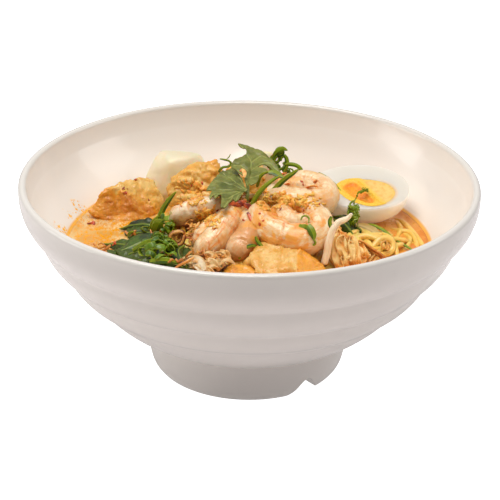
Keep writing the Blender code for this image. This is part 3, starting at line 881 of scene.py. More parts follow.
# %% The four prawns
prawn(
    "prawn_in_front", "prawn_centre", prawn_paint,
    ((0, -0.62, 0.78),
     [(8, -9, 98, 5, 5), (6, -17, 96, 7, 7.2), (10.5, -25, 92, 8, 8), (20, -30.5, 89.5, 8.2, 8.2),
      (31, -31.5, 89, 8, 8), (38, -26, 91, 7.6, 7.4), (37, -17, 95, 7, 6.8), (31, -9, 98, 6, 5.8),
      (21.5, -8, 98, 5, 4.8), (17, -14, 96, 3.6, 3.6)], 0.2, 3.1),
    ((0, -0.62, 0.78),
     [(14, -9, 97.5, 4, 4), (17, -15, 96, 6, 6), (22, -21, 93.6, 7, 7), (28, -21, 93.4, 6.4, 6.4),
      (31.5, -16, 95, 5, 5)], 0.0, 6.3, 3.0),
)
prawn(
    "prawn_by_the_egg", "prawn_right", prawn_flesh("prawn_flesh_soft", 0.65),
    ((0.05, -0.35, 0.94),
     [(8, 15, 97, 5, 5), (17, 9, 96, 7, 7), (28, 5, 94.5, 8, 8), (37.5, 6, 94, 8, 7.6),
      (42.5, 14, 95, 7.6, 7), (38.5, 24, 97, 7, 6.4), (30, 28.5, 98, 6, 5.6),
      (22, 27, 98, 4.8, 4.4), (18, 21, 97.5, 3.2, 3)], 0.16, 8.4),
    ((0.05, -0.35, 0.94),
     [(14, 19, 98, 4, 4), (22, 18.6, 98, 6, 5.4), (30, 17.6, 97.6, 6.6, 5.8),
      (37, 17, 96.4, 5, 5)], 0.0, 2.2, 3.0),
)
# This one was cut almost through along its back, and its two halves have fallen apart.
# Its second half is painted darker round a point: painted shade, with some broth stain.
split_flesh = prawn_flesh("prawn_flesh_split", 0.8, (0.002, -0.028, 0.086, 0.0165))
prawn(
    "split_prawn", "prawn_left", split_flesh,
    ((-0.6, -0.5, 0.6),
     [(-4.2, -5, 95.8, 3.6, 3.6), (-7.4, -11.5, 94.8, 5.8, 5.6), (-11, -19.4, 91.8, 7.6, 7.0),
      (-15.4, -26.2, 88.2, 8.2, 7.4), (-20.4, -31.4, 84.6, 7.8, 7.0), (-25.5, -34.6, 82, 6.2, 5.8),
      (-30.4, -36, 80.8, 3.6, 3.6)], 0.03, 5.5, 2.0),
    ((0.8, -0.4, 0.4),
     [(0.6, -7, 94.6, 3.6, 3.6), (-0.4, -15, 92.8, 6, 5.8), (0.2, -22.8, 90, 7.2, 6.8),
      (-1.8, -28.8, 86.6, 7.6, 7), (-6.6, -33.3, 82.8, 7.2, 6.8),
      (-10.5, -35.4, 79, 5, 5)], 0.06, 7.5, 2.6),
    ((-0.8, 0.1, 0.6),
     [(-6, -1, 92.6, 4, 4), (-13, -7, 89.6, 5.4, 5.4), (-19.4, -13.6, 86.4, 6.2, 6),
      (-24.4, -20, 83, 6, 5.8), (-28, -26, 79.6, 4.4, 4.4)], 0.1, 9.5, 3.6),
)
prawn(
    "prawn_behind", "prawn_back", pale_prawn,
    ((-0.3, -0.5, 0.7),
     [(-43.5, 5.0, 82.6, 1.2, 1.2), (-38.6, 4.2, 87, 4.0, 3.8), (-31.6, 2.6, 90.6, 5.4, 5),
      (-25.6, 1.6, 92.6, 5.6, 5.2), (-19.6, 1.6, 94.2, 5.2, 5), (-14, 4, 95, 4.2, 4.2),
      (-9, 10, 93, 3, 3)], 0.05, 1.7, 2.6),
    ((0.25, -0.85, 0.46),
     [(-43, 11, 79, 4, 4), (-38, 9.6, 83.6, 6, 6), (-30, 9, 87, 6.6, 6.6), (-20, 9, 89.4, 6.4, 6.4),
      (-12, 11, 88, 4, 4)],
     0.0, 4.7, 3.5),
)

# %% [markdown]
# ## Fried tofu
# A tofu puff is a cube of bean curd that blew up in hot oil and then went slack in the broth:
# a thin leathery skin, browned at its edges, folded and pitted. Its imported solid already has
# the outline, so a copy of it is merged, remeshed finely and softened, and the folds, pits and
# wrinkles are pressed into it.

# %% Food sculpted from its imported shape
def sculpted(name, node, voxel, soften, wrinkles, creases=(), shrink=0.0, creased=False):
    """A fine copy of a CAD node. wrinkles: (size in mm, depth in mm, seed); creases:
    (points in mm, half width, depth), where a negative depth raises a ridge. Where the finish
    asks for it, each point keeps how deep in a wrinkle it is."""
    piece = bpy.data.objects.new(name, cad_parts[node].data.copy())
    scene.collection.objects.link(piece)
    piece.data.name = name
    tidy(piece, merge=0.01 * MM)
    if soften > 3:
        modify(piece, "SMOOTH", factor=0.4, iterations=2)
    modify(piece, "REMESH", mode="VOXEL", voxel_size=voxel * MM)
    modify(piece, "SMOOTH", factor=0.5, iterations=soften)
    lines = [([Vector(p) * MM for p in rounded(points, 4)], half_width * MM, depth * MM)
             for points, half_width, depth in creases]
    full = sum(depth for _, depth, _ in wrinkles) * MM
    kept = []

    def press(p, n):
        push = -shrink * MM
        for size, depth, seed in wrinkles:
            spot_value = noise.noise(p / (size * MM) + Vector((seed, seed * 2, 0)))
            push += (abs(spot_value) * 2 - 0.5) * depth * MM
        for path, half_width, depth in lines:
            gap = min(distance_to(p, a, b) for a, b in zip(path, path[1:]))
            if gap < 2.5 * half_width:
                push -= depth * math.exp(-((gap / half_width) ** 2))
        kept.extend((0, 2.6 * max(0.0, 0.12 - (push + shrink * MM) / full), 0))
        return p + n * push

    moved(piece, press)
    if creased:
        keep(piece, kept)
    return smooth(piece)


def distance_to(p, a, b):
    """How far a point is from the line between two others."""
    along = b - a
    t = max(0.0, min(1.0, (p - a).dot(along) / along.length_squared))
    return (p - a - along * t).length


# %% Fried tofu finish
def tofu_finish(name, browned, brown_face=None, much=0.38, skin=((222, 168, 70), (232, 194, 114))):
    """Golden fried skin. browned says how much of it is deep brown; brown_face is an axis and
    the two places on it between which a face that was fried longer begins."""
    paint = moist(name, 0.15, 0.003, 0.3, 0.16)
    place = paint.place()
    broad = paint.noise(place, 42, 4, 0.6)
    middle = paint.noise(place, 150, 4, 0.65)
    fine = paint.noise(place, 620, 3, 0.7)
    pores = paint.cells(place, 520)
    gold = paint.mix(*skin, middle.between(0.42, 0.62))
    fry = (broad * 1.1 + middle * 0.55 - 0.82 + browned).clamped()
    if brown_face is not None:
        axis, start, full = brown_face
        fry = (fry + paint.axis(place, axis).between(start, full) * much).clamped()
    colour = gold.under((232, 160, 42), fry.between(0.0, 0.35))
    colour = colour.under((200, 116, 23), fry.between(0.26, 0.6))
    scorch = middle.between(0.62, 0.74) * fry.between(0.15, 0.4)
    colour = colour.under((158, 78, 20), scorch * 0.8)
    colour = colour.under((250, 216, 146), fine.between(0.6, 0.72) * 0.4)
    height = fine * 0.35 + middle * 0.9 + pores.between(0.0, 0.4) * 0.4
    return paint.done(colour, 0.38 + middle * 0.25, height, 0.0011, 0.6)


# %% The five pieces of tofu
# A ridge where two faces meet is a crease with a negative depth.
WALL_CREASES = [
    ([(-75.2, 38.9, 89.6), (-74.5, 34.5, 83), (-73.7, 30.5, 76)], 2.4, 2.4),
    ([(-75.2, 38.9, 89.6), (-68.3, 35.2, 82.1), (-63.8, 33.9, 77.2),
      (-57.1, 34.0, 73.6)], 1.3, -1.1),
    ([(-85, 34.5, 84), (-75, 39, 90.2)], 1.6, -0.9),
    ([(-70, 44, 89), (-64, 42, 85.5), (-58, 38, 79)], 1.8, 0.9),
    ([(-66, 50, 89.5), (-60, 46, 86), (-55, 42, 81)], 1.6, 0.8),
    ([(-80, 33, 80), (-77, 31, 74)], 1.8, 1.0),
]
FRONT_CREASES = [
    ([(27.0, -42.6, 87.4), (25.8, -47, 84), (24.8, -54, 79)], 1.0, -1.4),
    ([(29.5, -45, 84.5), (29.5, -51, 80)], 2.4, 2.0),
    ([(27.4, -42.6, 87.4), (33, -45, 84.5), (39, -47, 80), (44, -48, 76)], 1.1, -0.8),
    ([(5, -41, 86), (8, -48, 83), (7, -56, 80)], 1.8, 1.1),
    ([(16, -42, 88), (17, -48, 84.6), (15, -56, 80)], 1.6, 0.9),
]
DULLER = ((218, 160, 66), (230, 187, 112))
golden = tofu_finish("tofu_golden", 0.03, ("X", 0.0250, 0.0262), 0.32, DULLER)
browned = tofu_finish("tofu_browned", 0.08)
two_faced = tofu_finish("tofu_two_faced", 0.0, ("Y", 0.0405, 0.0365))
amber = tofu_finish("tofu_amber", 0.3)
TOFU = [
    ("tofu_by_the_wall", "tofu_left", 0.8, [(9, 0.9, 3), (3, 0.5, 8), (1.6, 0.25, 5)],
     WALL_CREASES, two_faced),
    ("tofu_on_the_heap", "tofu_centre", 0.9, [(7, 1.7, 5), (3, 0.8, 2), (1.8, 0.3, 4)],
     (), browned),
    ("tofu_behind", "tofu_back", 0.9, [(6, 1.2, 7), (3, 0.5, 3)], (), browned),
    ("tofu_in_front", "tofu_front", 0.9, [(8, 0.9, 2), (3.2, 0.45, 6), (1.7, 0.2, 1)],
     FRONT_CREASES, golden),
    ("tofu_at_the_rim", "tofu_front_left", 0.8, [(6, 0.9, 4), (2.8, 0.5, 9)], (), amber),
]
for name, node, voxel, wrinkles, creases, finish in TOFU:
    finish_piece(sculpted(name, node, voxel, 4, wrinkles, creases), finish, "tofu", node)

# %% [markdown]
# ## White radish
# Simmered radish goes glassy: pale, a little yellow, with soft edges and faint fibres. Its
# corners are rounded by the same remeshing, and light is let into it.

# %% Radish
def radish_finish():
    paint = moist("simmered_radish", 0.5, 0.012, 0.25, 0.2)
    place = paint.place()
    height, cloud = paint.axis(place, "Z"), paint.noise(place, 40, 3)
    fibre = paint.noise(paint.stretched(place, (1, 1, 0.15)), 300, 3, 0.6)
    colour = paint.mix((231, 220, 182), (238, 230, 202), cloud.between(0.35, 0.65))
    colour = colour.under((222, 206, 156), fibre.between(0.55, 0.7) * 0.3)
    # Painted shade: the top is painted greyer and darker, where the light from above falls
    # strongest.
    colour = colour.under((204, 196, 164), height.between(0.094, 0.101) * 0.85)
    colour = colour.under((238, 200, 132), (1 - height.between(0.073, 0.088)) * 0.45)
    return paint.done(colour, 0.3 + cloud * 0.15, fibre, 0.0004, 0.4)


radish_paint = radish_finish()
by_the_wall = sculpted("radish_by_the_wall", "radish_left", 0.9, 5, [(16, 0.45, 2), (5, 0.12, 3)])
finish_piece(by_the_wall, radish_paint, "radish", "radish_left")
behind = sculpted("radish_behind", "radish_back", 1.0, 8, [(14, 0.5, 5)])
finish_piece(behind, radish_paint, "radish", "radish_back")

# %% [markdown]
# ## The egg
# Half a boiled egg lies cut face up. The white is a turned half ball, stretched into an egg
# and cut by a yolk-shaped cutter, so that the wall of the hollow is crisp. The yolk is its own
# piece. It came away unevenly when the egg was halved: to the left it has a deep, moist hollow
# under a sharp ridge, and to the right it is paler, drier and nearly flat.

# %% Egg frame and white
EGG = Matrix.Translation(Vector((62, 37, 92)) * MM) @ Matrix.Rotation(math.radians(14), 4, "X")
EGG = EGG @ Matrix.Rotation(math.radians(-4), 4, "Z")
EGG_LONG, EGG_WIDE = 28.0, 20.8
YOLK_CENTRE = Vector((3.2, -5.6))
# The yolk's edge on the cut face, from its pointed left end round over the top.
YOLK_EDGE = [
    (-13.4, -2.1), (-8.6, 4.6), (-1.4, 6.7), (8.2, 6.6), (16.2, 3.0), (19.8, -3.2), (18.6, -9.6),
    (14.0, -15.0), (7.2, -17.8), (-0.6, -16.0), (-8.0, -11.0),
]
EDGE = 1.1


def quarter(radius, depth, steps, top=0.0):
    """Points of a quarter turn, from the edge of a cut face down to the pole."""
    turns = [math.pi / 2 * i / steps for i in range(1, steps + 1)]
    return [(max(radius * math.cos(a), 0.0), top - depth * math.sin(a)) for a in turns]


shell = [(19.6 * i / 24, 0) for i in range(25)]
for a in (0.35, 0.7, 1.05, 1.4):
    shell.append((EGG_WIDE - EDGE + EDGE * math.sin(a), -EDGE + EDGE * math.cos(a)))
shell += quarter(EGG_WIDE, EGG_WIDE - EDGE, 28, -EDGE)


def egg_place(p, n):
    """A place on a turned ball, in millimetres, stretched to the egg and set in the bowl."""
    x, y, z = p.x / MM * EGG_LONG / EGG_WIDE, p.y / MM, p.z / MM
    grow = 1.0 + 0.08 * x / EGG_LONG
    return EGG @ (Vector((x, y * grow, z * grow)) * MM)


egg_white = moved(spun("egg_white_half", shell, 96), egg_place)
print("egg:", EGG_LONG * 2, "mm long and", EGG_WIDE * 2, "mm wide")


# %% The yolk's edge and its broken face
def yolk_reach(turn):
    """How far the yolk's edge is from its centre in a direction."""
    best, reach = 9.0, 10.0
    for edge in yolk_ring:
        gap = edge - YOLK_CENTRE
        off = abs((math.atan2(gap.y, gap.x) - turn + math.pi) % (2 * math.pi) - math.pi)
        if off < best:
            best, reach = off, gap.length
    return reach


yolk_ring = rounded([YOLK_EDGE[-1]] + YOLK_EDGE + YOLK_EDGE[:2], 14)
ridge_low, ridge_high = Vector((10.5, -12.5)), Vector((-1.6, 5.2))


def ease(value, low, high):
    t = max(0.0, min(1.0, (value - low) / (high - low)))
    return t * t * (3 - 2 * t)


def yolk_depth(u, v, share, reach):
    """How far the yolk's top lies under the cut face, and how moist it is there."""
    along = (ridge_high - ridge_low).normalized()
    side = (Vector((u, v)) - ridge_low).cross(along)
    inside = (1 - share) * reach
    crumb = noise.noise(Vector((u, v, 0)) * 0.9) * 0.25
    crumb += noise.noise(Vector((u, v, 4)) * 2.2) * 0.12
    # The hollow falls steeply from the ridge and climbs slowly to the left.
    left = ease(-side, 0.0, 4.6) * (1 - 0.6 * ease(-side, 6, 12)) * ease(inside, 1.6, 6.4)
    rightward = ease(side, 0.3, 5.0) * (0.55 + 0.45 * ease(inside, 0.6, 3.4))
    crest = 0.8 * math.exp(-((side / 0.8) ** 2)) * ease(inside, 0.4, 2.0)
    depth = 2.1 * left + 1.0 * rightward - crest + crumb * ease(inside, 0.2, 1.0)
    return depth, left - rightward * 0.5


# %% Shaping the yolk and cutting its hollow
YOLK_RADIUS, YOLK_DEPTH = 10.0, 12.0
yolk_profile = [(YOLK_RADIUS * i / 60, 0) for i in range(61)] + quarter(YOLK_RADIUS, YOLK_DEPTH, 14)
egg_yolk = spun("egg_yolk_half", yolk_profile, 144)
cutter = copy_of(egg_yolk)
yolk_blank = []


def on_the_face(p):
    """A point's way from the middle of the turned yolk, its share of the yolk's reach that
    way, that reach, and whether the point is on top."""
    turn = math.atan2(p.y, p.x)
    share = math.hypot(p.x, p.y) / (YOLK_RADIUS * MM)
    return Vector((math.cos(turn), math.sin(turn))), share, yolk_reach(turn), p.z > -0.2 * MM


def yolk_place(p, n):
    way, share, reach, top = on_the_face(p)
    share = min(1.0, share)
    u, v = YOLK_CENTRE + way * reach * share * 1.035
    depth, wet = yolk_depth(u, v, share, reach) if top else (0, 0)
    yolk_blank.extend((u, v, wet))
    return EGG @ (Vector((u, v, 0.35 - depth if top else max(p.z / MM, -YOLK_DEPTH))) * MM)


def cutter_place(p, n):
    way, share, reach, top = on_the_face(p)
    u, v = YOLK_CENTRE + way * (reach * share)
    return EGG @ (Vector((u, v, 2.0 if top else p.z / MM * 1.02)) * MM)


moved(egg_yolk, yolk_place)
moved(cutter, cutter_place)
keep(egg_yolk, yolk_blank)
tidy(egg_yolk)
modify(egg_white, "BOOLEAN", operation="DIFFERENCE", solver="EXACT", object=cutter)
bpy.data.objects.remove(cutter, do_unlink=True)
only(egg_white)
bpy.ops.object.shade_smooth_by_angle(angle=math.radians(45))
# Each point of the white keeps its place on the cut face and its gap from the yolk.
back_to_egg = EGG.inverted()
white_blank = []
for vertex in egg_white.data.vertices:
    flat = (back_to_egg @ vertex.co) / MM
    gap = flat.xy - YOLK_CENTRE
    white_blank.extend((flat.x, flat.z, gap.length - yolk_reach(math.atan2(gap.y, gap.x))))
keep(egg_white, white_blank)
print("egg white:", len(egg_white.data.vertices), "points after the cut")


# %% Egg finishes
def egg_white_finish():
    # The white is made to glow faintly: a painted light.
    paint = moist("boiled_egg_white", 0.7, 0.009, 0.25, 0.14, Emission_Strength=0.1,
                  Subsurface_Radius=(1.0, 0.95, 0.85))
    place, body = paint.place(), paint.body()
    along, depth, gap = (paint.axis(body, name) for name in "XYZ")
    cloud, fine = paint.noise(place, 36, 3), paint.noise(place, 700, 2)
    colour = paint.mix((216, 210, 199), (224, 219, 209), cloud)
    # Below the cut face the white is painted brighter than on top: painted light on the side, which
    # lies in shade.
    colour = colour.under((246, 238, 226), 1 - depth.between(-0.9, -0.15))
    # Yolk has coloured the white that it touches, most of all at the blunt end.
    stain = (1 - gap.between(-0.2, 2.6)) * along.between(6, 17) * depth.between(-6, -0.5)
    colour = colour.under((250, 206, 150), stain * 0.85)
    low = 1 - paint.axis(place, "Z").between(0.0735, 0.080)
    colour = colour.under((236, 176, 100), low * (0.5 + cloud * 0.4))
    # Painted light: the side below the cut face glows, standing in for light that has come through
    # the white from above and leaves by its side.
    through = paint.mix((250, 236, 214), (0, 0, 0), depth.between(-1.0, -0.15))
    return paint.done(colour, 0.3 + cloud * 0.12, fine, 0.0002, 0.3, Emission_Color=through)


def egg_yolk_finish():
    paint = moist("boiled_yolk", 0.3, 0.003, 0.2, 0.2, Subsurface_Radius=(1.0, 0.6, 0.2))
    body = paint.body()
    wet = paint.axis(body, "Z")
    crumb, cloud = paint.noise(body, 1.6, 4, 0.65), paint.noise(body, 0.35, 3)
    rim = paint.mix((252, 192, 40), (254, 210, 76), crumb.between(0.4, 0.6))
    pale = paint.mix((248, 190, 92), (252, 208, 122), cloud.between(0.35, 0.6))
    colour = rim.under(pale, (wet * -2.4).clamped())
    hollow = paint.mix((255, 166, 20), (255, 146, 6), cloud.between(0.4, 0.62))
    colour = colour.under(hollow, wet.between(0.12, 0.5))
    return paint.done(colour, 0.5 - wet.clamped() * 0.25 + crumb * 0.1, crumb, 0.0008, 0.7)


finish_piece(egg_white, egg_white_finish(), "egg_white", "egg_white")
finish_piece(egg_yolk, egg_yolk_finish(), "egg_yolk", "egg_yolk")

# %% [markdown]
# ## The coriander sprig
# Two lobed leaves on one stem crown the heap. A leaf is cut flat, like paper, from a ring of
# vertices moved onto its outline; the sheet gets its thickness, an even fine mesh, and only
# then is it bent, with its veins pressed in. Each point also keeps its distance from the
# nearest vein, so that the finish can draw the veins paler.

# %% Leaves cut from an outline
LEAF_THICKNESS, LEAF_VOXEL = 0.75, 0.34
VEIN_DEPTH, LEAF_RIPPLE = 0.35, 0.5


def cut_leaf(name, outline):
    """A flat slab of leaf, in millimetres on the XY plane, cut to a closed outline."""
    ring = rounded([outline[-1]] + outline + outline[:2], 4)[4:-4]
    clear_selection()
    bpy.ops.mesh.primitive_circle_add(vertices=len(ring), radius=MM, fill_type="NGON")
    leaf = named(name)
    for vertex, point in zip(leaf.data.vertices, ring):
        vertex.co = (point.x * MM, point.y * MM, 0)
    pick(leaf)
    bpy.ops.mesh.quads_convert_to_tris(ngon_method="CLIP")
    extrude(0, 0, LEAF_THICKNESS * MM)
    tidy(leaf)
    modify(leaf, "REMESH", mode="VOXEL", voxel_size=LEAF_VOXEL * MM)
    return modify(leaf, "SMOOTH", factor=0.5, iterations=3)


def bend_leaf(leaf, veins, height, seed):
    """Lifts a flat leaf to height(x, y) in millimetres and presses its veins in."""
    lines = [[Vector(p) for p in rounded([(x, y, 0) for x, y in vein], 3)] for vein in veins]
    kept = []

    def lift(p, n):
        flat = Vector((p.x / MM, p.y / MM, 0))
        gap = min(distance_to(flat, a, b) for line in lines for a, b in zip(line, line[1:]))
        wave = noise.noise(flat * 0.16 + Vector((seed, 0, 0))) * LEAF_RIPPLE * 2.2
        wave += noise.noise(flat * 0.5 + Vector((0, seed, 0))) * LEAF_RIPPLE * 0.7
        puff = VEIN_DEPTH * (min(1.0, gap / 1.6) - math.exp(-((gap / 0.45) ** 2)))
        kept.extend((flat.x, flat.y, gap))
        return Vector((p.x, p.y, p.z + (height(flat.x, flat.y) + wave + puff) * MM))

    moved(leaf, lift)
    keep(leaf, kept)
    return smooth(leaf)


# %% The two coriander leaves
LEFT_LEAF = [
    (-1, 0), (-3, -1), (-4, -6), (-5, -12), (-7.5, -14.5), (-9, -12), (-10.5, -17), (-12.5, -24),
    (-14, -26.5), (-15.3, -24), (-15, -16), (-15.6, -8), (-17.6, -13), (-18.6, -14), (-19.4, -8.5),
    (-20.8, -13), (-21.6, -9), (-20.6, -2), (-23.3, -1), (-23, 2.5), (-21.5, 9), (-19.5, 15),
    (-17, 21.5), (-15, 26), (-12, 29.5), (-9.5, 30.5), (-7.5, 27), (-5.6, 21), (-4, 14), (-2.6, 6),
]
LEFT_VEINS = [
    [(-1, 1), (-8, -6), (-13.6, -24)], [(-1, 1), (-5, -6), (-7, -13)],
    [(-4, -1), (-14, -5), (-18.4, -12)], [(-4, -1), (-13, 0), (-22, 0)],
    [(-1, 1), (-9, 6), (-19, 12)], [(-3, 3), (-9, 14), (-15, 23)],
    [(-2, 3), (-5, 14), (-9, 27)], [(-14, -5), (-19, -7), (-21, -11)],
    [(-8, -6), (-13, -13), (-15, -14)],
]
TOP_LEAF = [
    (-1.6, 1), (-0.6, 5.6), (1, 5.2), (3.8, 6.2), (5, 11), (6.4, 16), (10, 18), (9, 21), (4.6, 23),
    (6, 25.6), (8, 26), (10.5, 24.6), (12, 22.6), (14, 21.2), (16, 20.6), (18, 19.6), (16.6, 23.4),
    (14.4, 27.6), (12, 31), (9, 34), (6, 36.4), (3, 38), (0, 39.4), (-2.5, 41), (-5, 42.8),
    (-7, 42.6), (-5, 39), (-2.2, 36.4), (-3.2, 33), (-6, 31), (-9, 28.4), (-10.5, 25), (-8.6, 20.6),
    (-5.6, 17.6), (-3.4, 13), (-2.4, 7),
]
TOP_VEINS = [
    [(-1, 2), (-0.6, 11), (0, 19), (0.6, 27), (-2, 34), (-6, 42)],
    [(0, 19), (6, 27), (10, 28), (16.5, 21.5)], [(0.6, 27), (5, 32), (9, 32)],
    [(0, 19), (-5, 24), (-9, 26)], [(-0.6, 11), (3, 13), (8, 18)],
    [(-0.6, 11), (-4, 16), (-7, 20)], [(-0.4, 5), (2, 6)],
]


def left_height(x, y):
    return 103.6 - 0.05 * max(0.0, -x - 14) ** 1.5 + 0.6 * math.sin(x * 0.28 + 1)


def top_height(x, y):
    droop = 0.012 * max(0.0, x - 4) ** 2 + 0.004 * max(0.0, -x - 2) ** 2
    return 103.2 + 0.24 * (y - 3) - droop + 0.8 * math.sin(y * 0.2)


left_leaf = bend_leaf(cut_leaf("left_leaf", LEFT_LEAF), LEFT_VEINS, left_height, 2.0)
top_leaf = bend_leaf(cut_leaf("top_leaf", TOP_LEAF), TOP_VEINS, top_height, 6.0)
coriander = joined([left_leaf, top_leaf], "coriander_leaves")
print("leaf outlines:", len(LEFT_LEAF), "and", len(TOP_LEAF), "points")


# %% Leaf finish
def leaf_finish(name, dark, light, vein, gloss, vein_reach=0.55, halves=False):
    """Leaf tissue: cloudy green, paler along the veins, with a fine cell grain. Where halves is
    set, one half of a blade is painted lighter than the other, a painted light as on the lit side
    of a fold."""
    paint = moist(name, 0.12, 0.002, gloss, 0.1, Specular_IOR_Level=0.3)
    body, place = paint.body(), paint.place()
    cloud, fine = paint.noise(place, 85, 4, 0.6), paint.noise(place, 520, 3, 0.65)
    colour = paint.mix(dark, light, cloud.between(0.34, 0.64))
    colour = colour.under(dark, fine.between(0.52, 0.7) * 0.5)
    if halves:
        across = paint.axis(body, "Y")
        # Painted light: one half of the blade is lighter, as if it were the lit side of a fold.
        colour = colour.under(vein, across.between(-0.1, 0.15) * 0.6)
        colour = colour.under(vein, 1 - across.size().between(0.05, 0.25))
    else:
        gap = paint.axis(body, "Z").between(0.12, vein_reach)
        colour = colour.under(vein, (1 - gap) * 0.75)
    return paint.done(colour, 0.42 + fine * 0.2, fine + cloud, 0.0004, 0.5)


finish_piece(
    coriander, leaf_finish("coriander_leaf", (86, 94, 28), (128, 131, 56), (158, 162, 84), 0.2),
    "coriander", "coriander")

# %% [markdown]
# ### Stems, blades and curls
# The sprig's stem, slivers of spring onion and its curled shreds are all narrow strips. Each
# is a flattened copy of a straight blank, bent along a track of its own.

# %% Strips, and ways to wind them
strip_blank = straight_blank("strip_blank", 10, 44)
# A strip shows its broad face to the front when its hint points from front to back.
FRONT = (0.05, -0.9, 0.4)


def strip(track, hint=FRONT):
    return lay_along(copy_of(strip_blank), track, hint, 6)


def blade(points, half_width, hint=FRONT):
    """A leaf blade or stem through points in millimetres, broad side to the front, whose
    width swells and runs out to a tip."""
    track = []
    for i, point in enumerate(points):
        t = i / (len(points) - 1)
        swell_by = 0.35 + 0.65 * math.sin(math.pi * min(1.0, 0.18 + t * 0.72)) ** 1.2
        track.append((*point, 0.2, half_width * swell_by * (1 if i < len(points) - 1 else 0.3)))
    return strip(track, hint)


def curl(points, half_width, thick=0.26):
    """A shred that curls up, broad side to the front, of even width until its tip."""
    shares = [0.6] + [1] * (len(points) - 2) + [0.6]
    return strip([(*p, thick, half_width * share) for p, share in zip(points, shares)])


def swirl(centre, radius, turns, start, half_width, thick, shrink):
    """A curl wound in a flat spiral, as it is seen from the front."""
    points = []
    steps = int(9 * turns) + 3
    for i in range(steps):
        t = i / (steps - 1)
        a = start + 2 * math.pi * turns * t
        r = radius * (1 - shrink * t)
        points.append(Vector(centre) + Vector((math.cos(a), 0.25 * math.sin(a), math.sin(a))) * r)
    return curl(points, half_width, thick)


def ring_strip(centre, across, up, radius, half_width, half_depth, start, turns, squash):
    """A slice of shallot or onion leaf: a thin ring in the plane of two directions."""
    across, up = Vector(across).normalized(), Vector(up).normalized()
    facing = across.cross(up)
    track = []
    steps = int(14 * turns) + 3
    for i in range(steps):
        a = start + 2 * math.pi * turns * i / (steps - 1)
        reach = radius * (1 + 0.1 * math.sin(3 * a + centre[0]))
        place = Vector(centre) + across * reach * math.cos(a) + up * reach * squash * math.sin(a)
        track.append((*place, half_width, half_depth))
    return strip(track, tuple(facing))


# %% Stems and blades
stems = [
    strip([(-2, -2, 95, 0.8, 0.9), (-1, 0, 101, 0.8, 1.0), (-1, 6, 104.6, 0.7, 0.9),
           (-0.6, 14, 106.6, 0.5, 0.7), (0, 22, 108.6, 0.4, 0.5)]),
    strip([(-1, 1, 102, 0.5, 0.7), (-4, -1, 103.6, 0.4, 0.6), (-9, 0, 104, 0.3, 0.4)]),
]
blades = [
    blade([(-0.6, -5, 94), (1.2, -5, 97), (3.4, -4.4, 101.4), (6.2, -4, 105.4), (9.4, -3, 108.6),
           (13, -1, 110.8), (17, 2, 112)], 1.3),
    blade([(8, 7, 96), (10.4, 7, 98.4), (13.4, 7, 101.4), (17, 7.6, 105.4), (20.6, 8, 108.6),
           (24, 8.6, 111), (27, 9, 113.4)], 1.5),
    blade([(4, 11, 101), (4.8, 12, 104), (6, 12.6, 107), (8.4, 13, 109), (12, 14, 109.4)], 0.95),
    blade([(10, 12, 109.6), (13, 12, 109.6), (16, 11, 108.4),
           (19, 10, 107.4)], 1.9, (0.0, -0.6, 0.8)),
    blade([(-51, 6, 73), (-50.4, 6.6, 78), (-49.4, 7.4, 83), (-47.6, 8, 88), (-45.4, 8, 92),
           (-43, 8.6, 95.4), (-40, 9, 98.8)], 1.6),
    blade([(-51.4, 3, 75), (-51.8, 2.4, 79), (-51, 2, 83), (-49.6, 2.4, 87)], 3.0),
    blade([(38, 30, 102.6), (41, 29, 101.4), (44, 28, 99.6), (47.5, 27, 97), (51, 25, 94)], 0.8),
    blade([(65, 19, 76.5), (68, 16, 77.6), (72, 11.6, 77.8), (76, 7, 77),
           (80, 1, 75.6)], 1.1, (0, -0.5, 0.85)),
    blade([(80.6, 1, 75), (83, -2, 75.2), (85.6, -5.4, 74.8), (88.4, -9, 74.4),
           (91, -14, 73.6)], 0.8, (0, -0.5, 0.85)),
    blade([(1, -12, 96.5), (3, -12.6, 98.6), (5.4, -12.6, 100.6), (6.6, -12, 99.6)], 1.5),
]
print("stems:", len(stems), "blades:", len(blades))

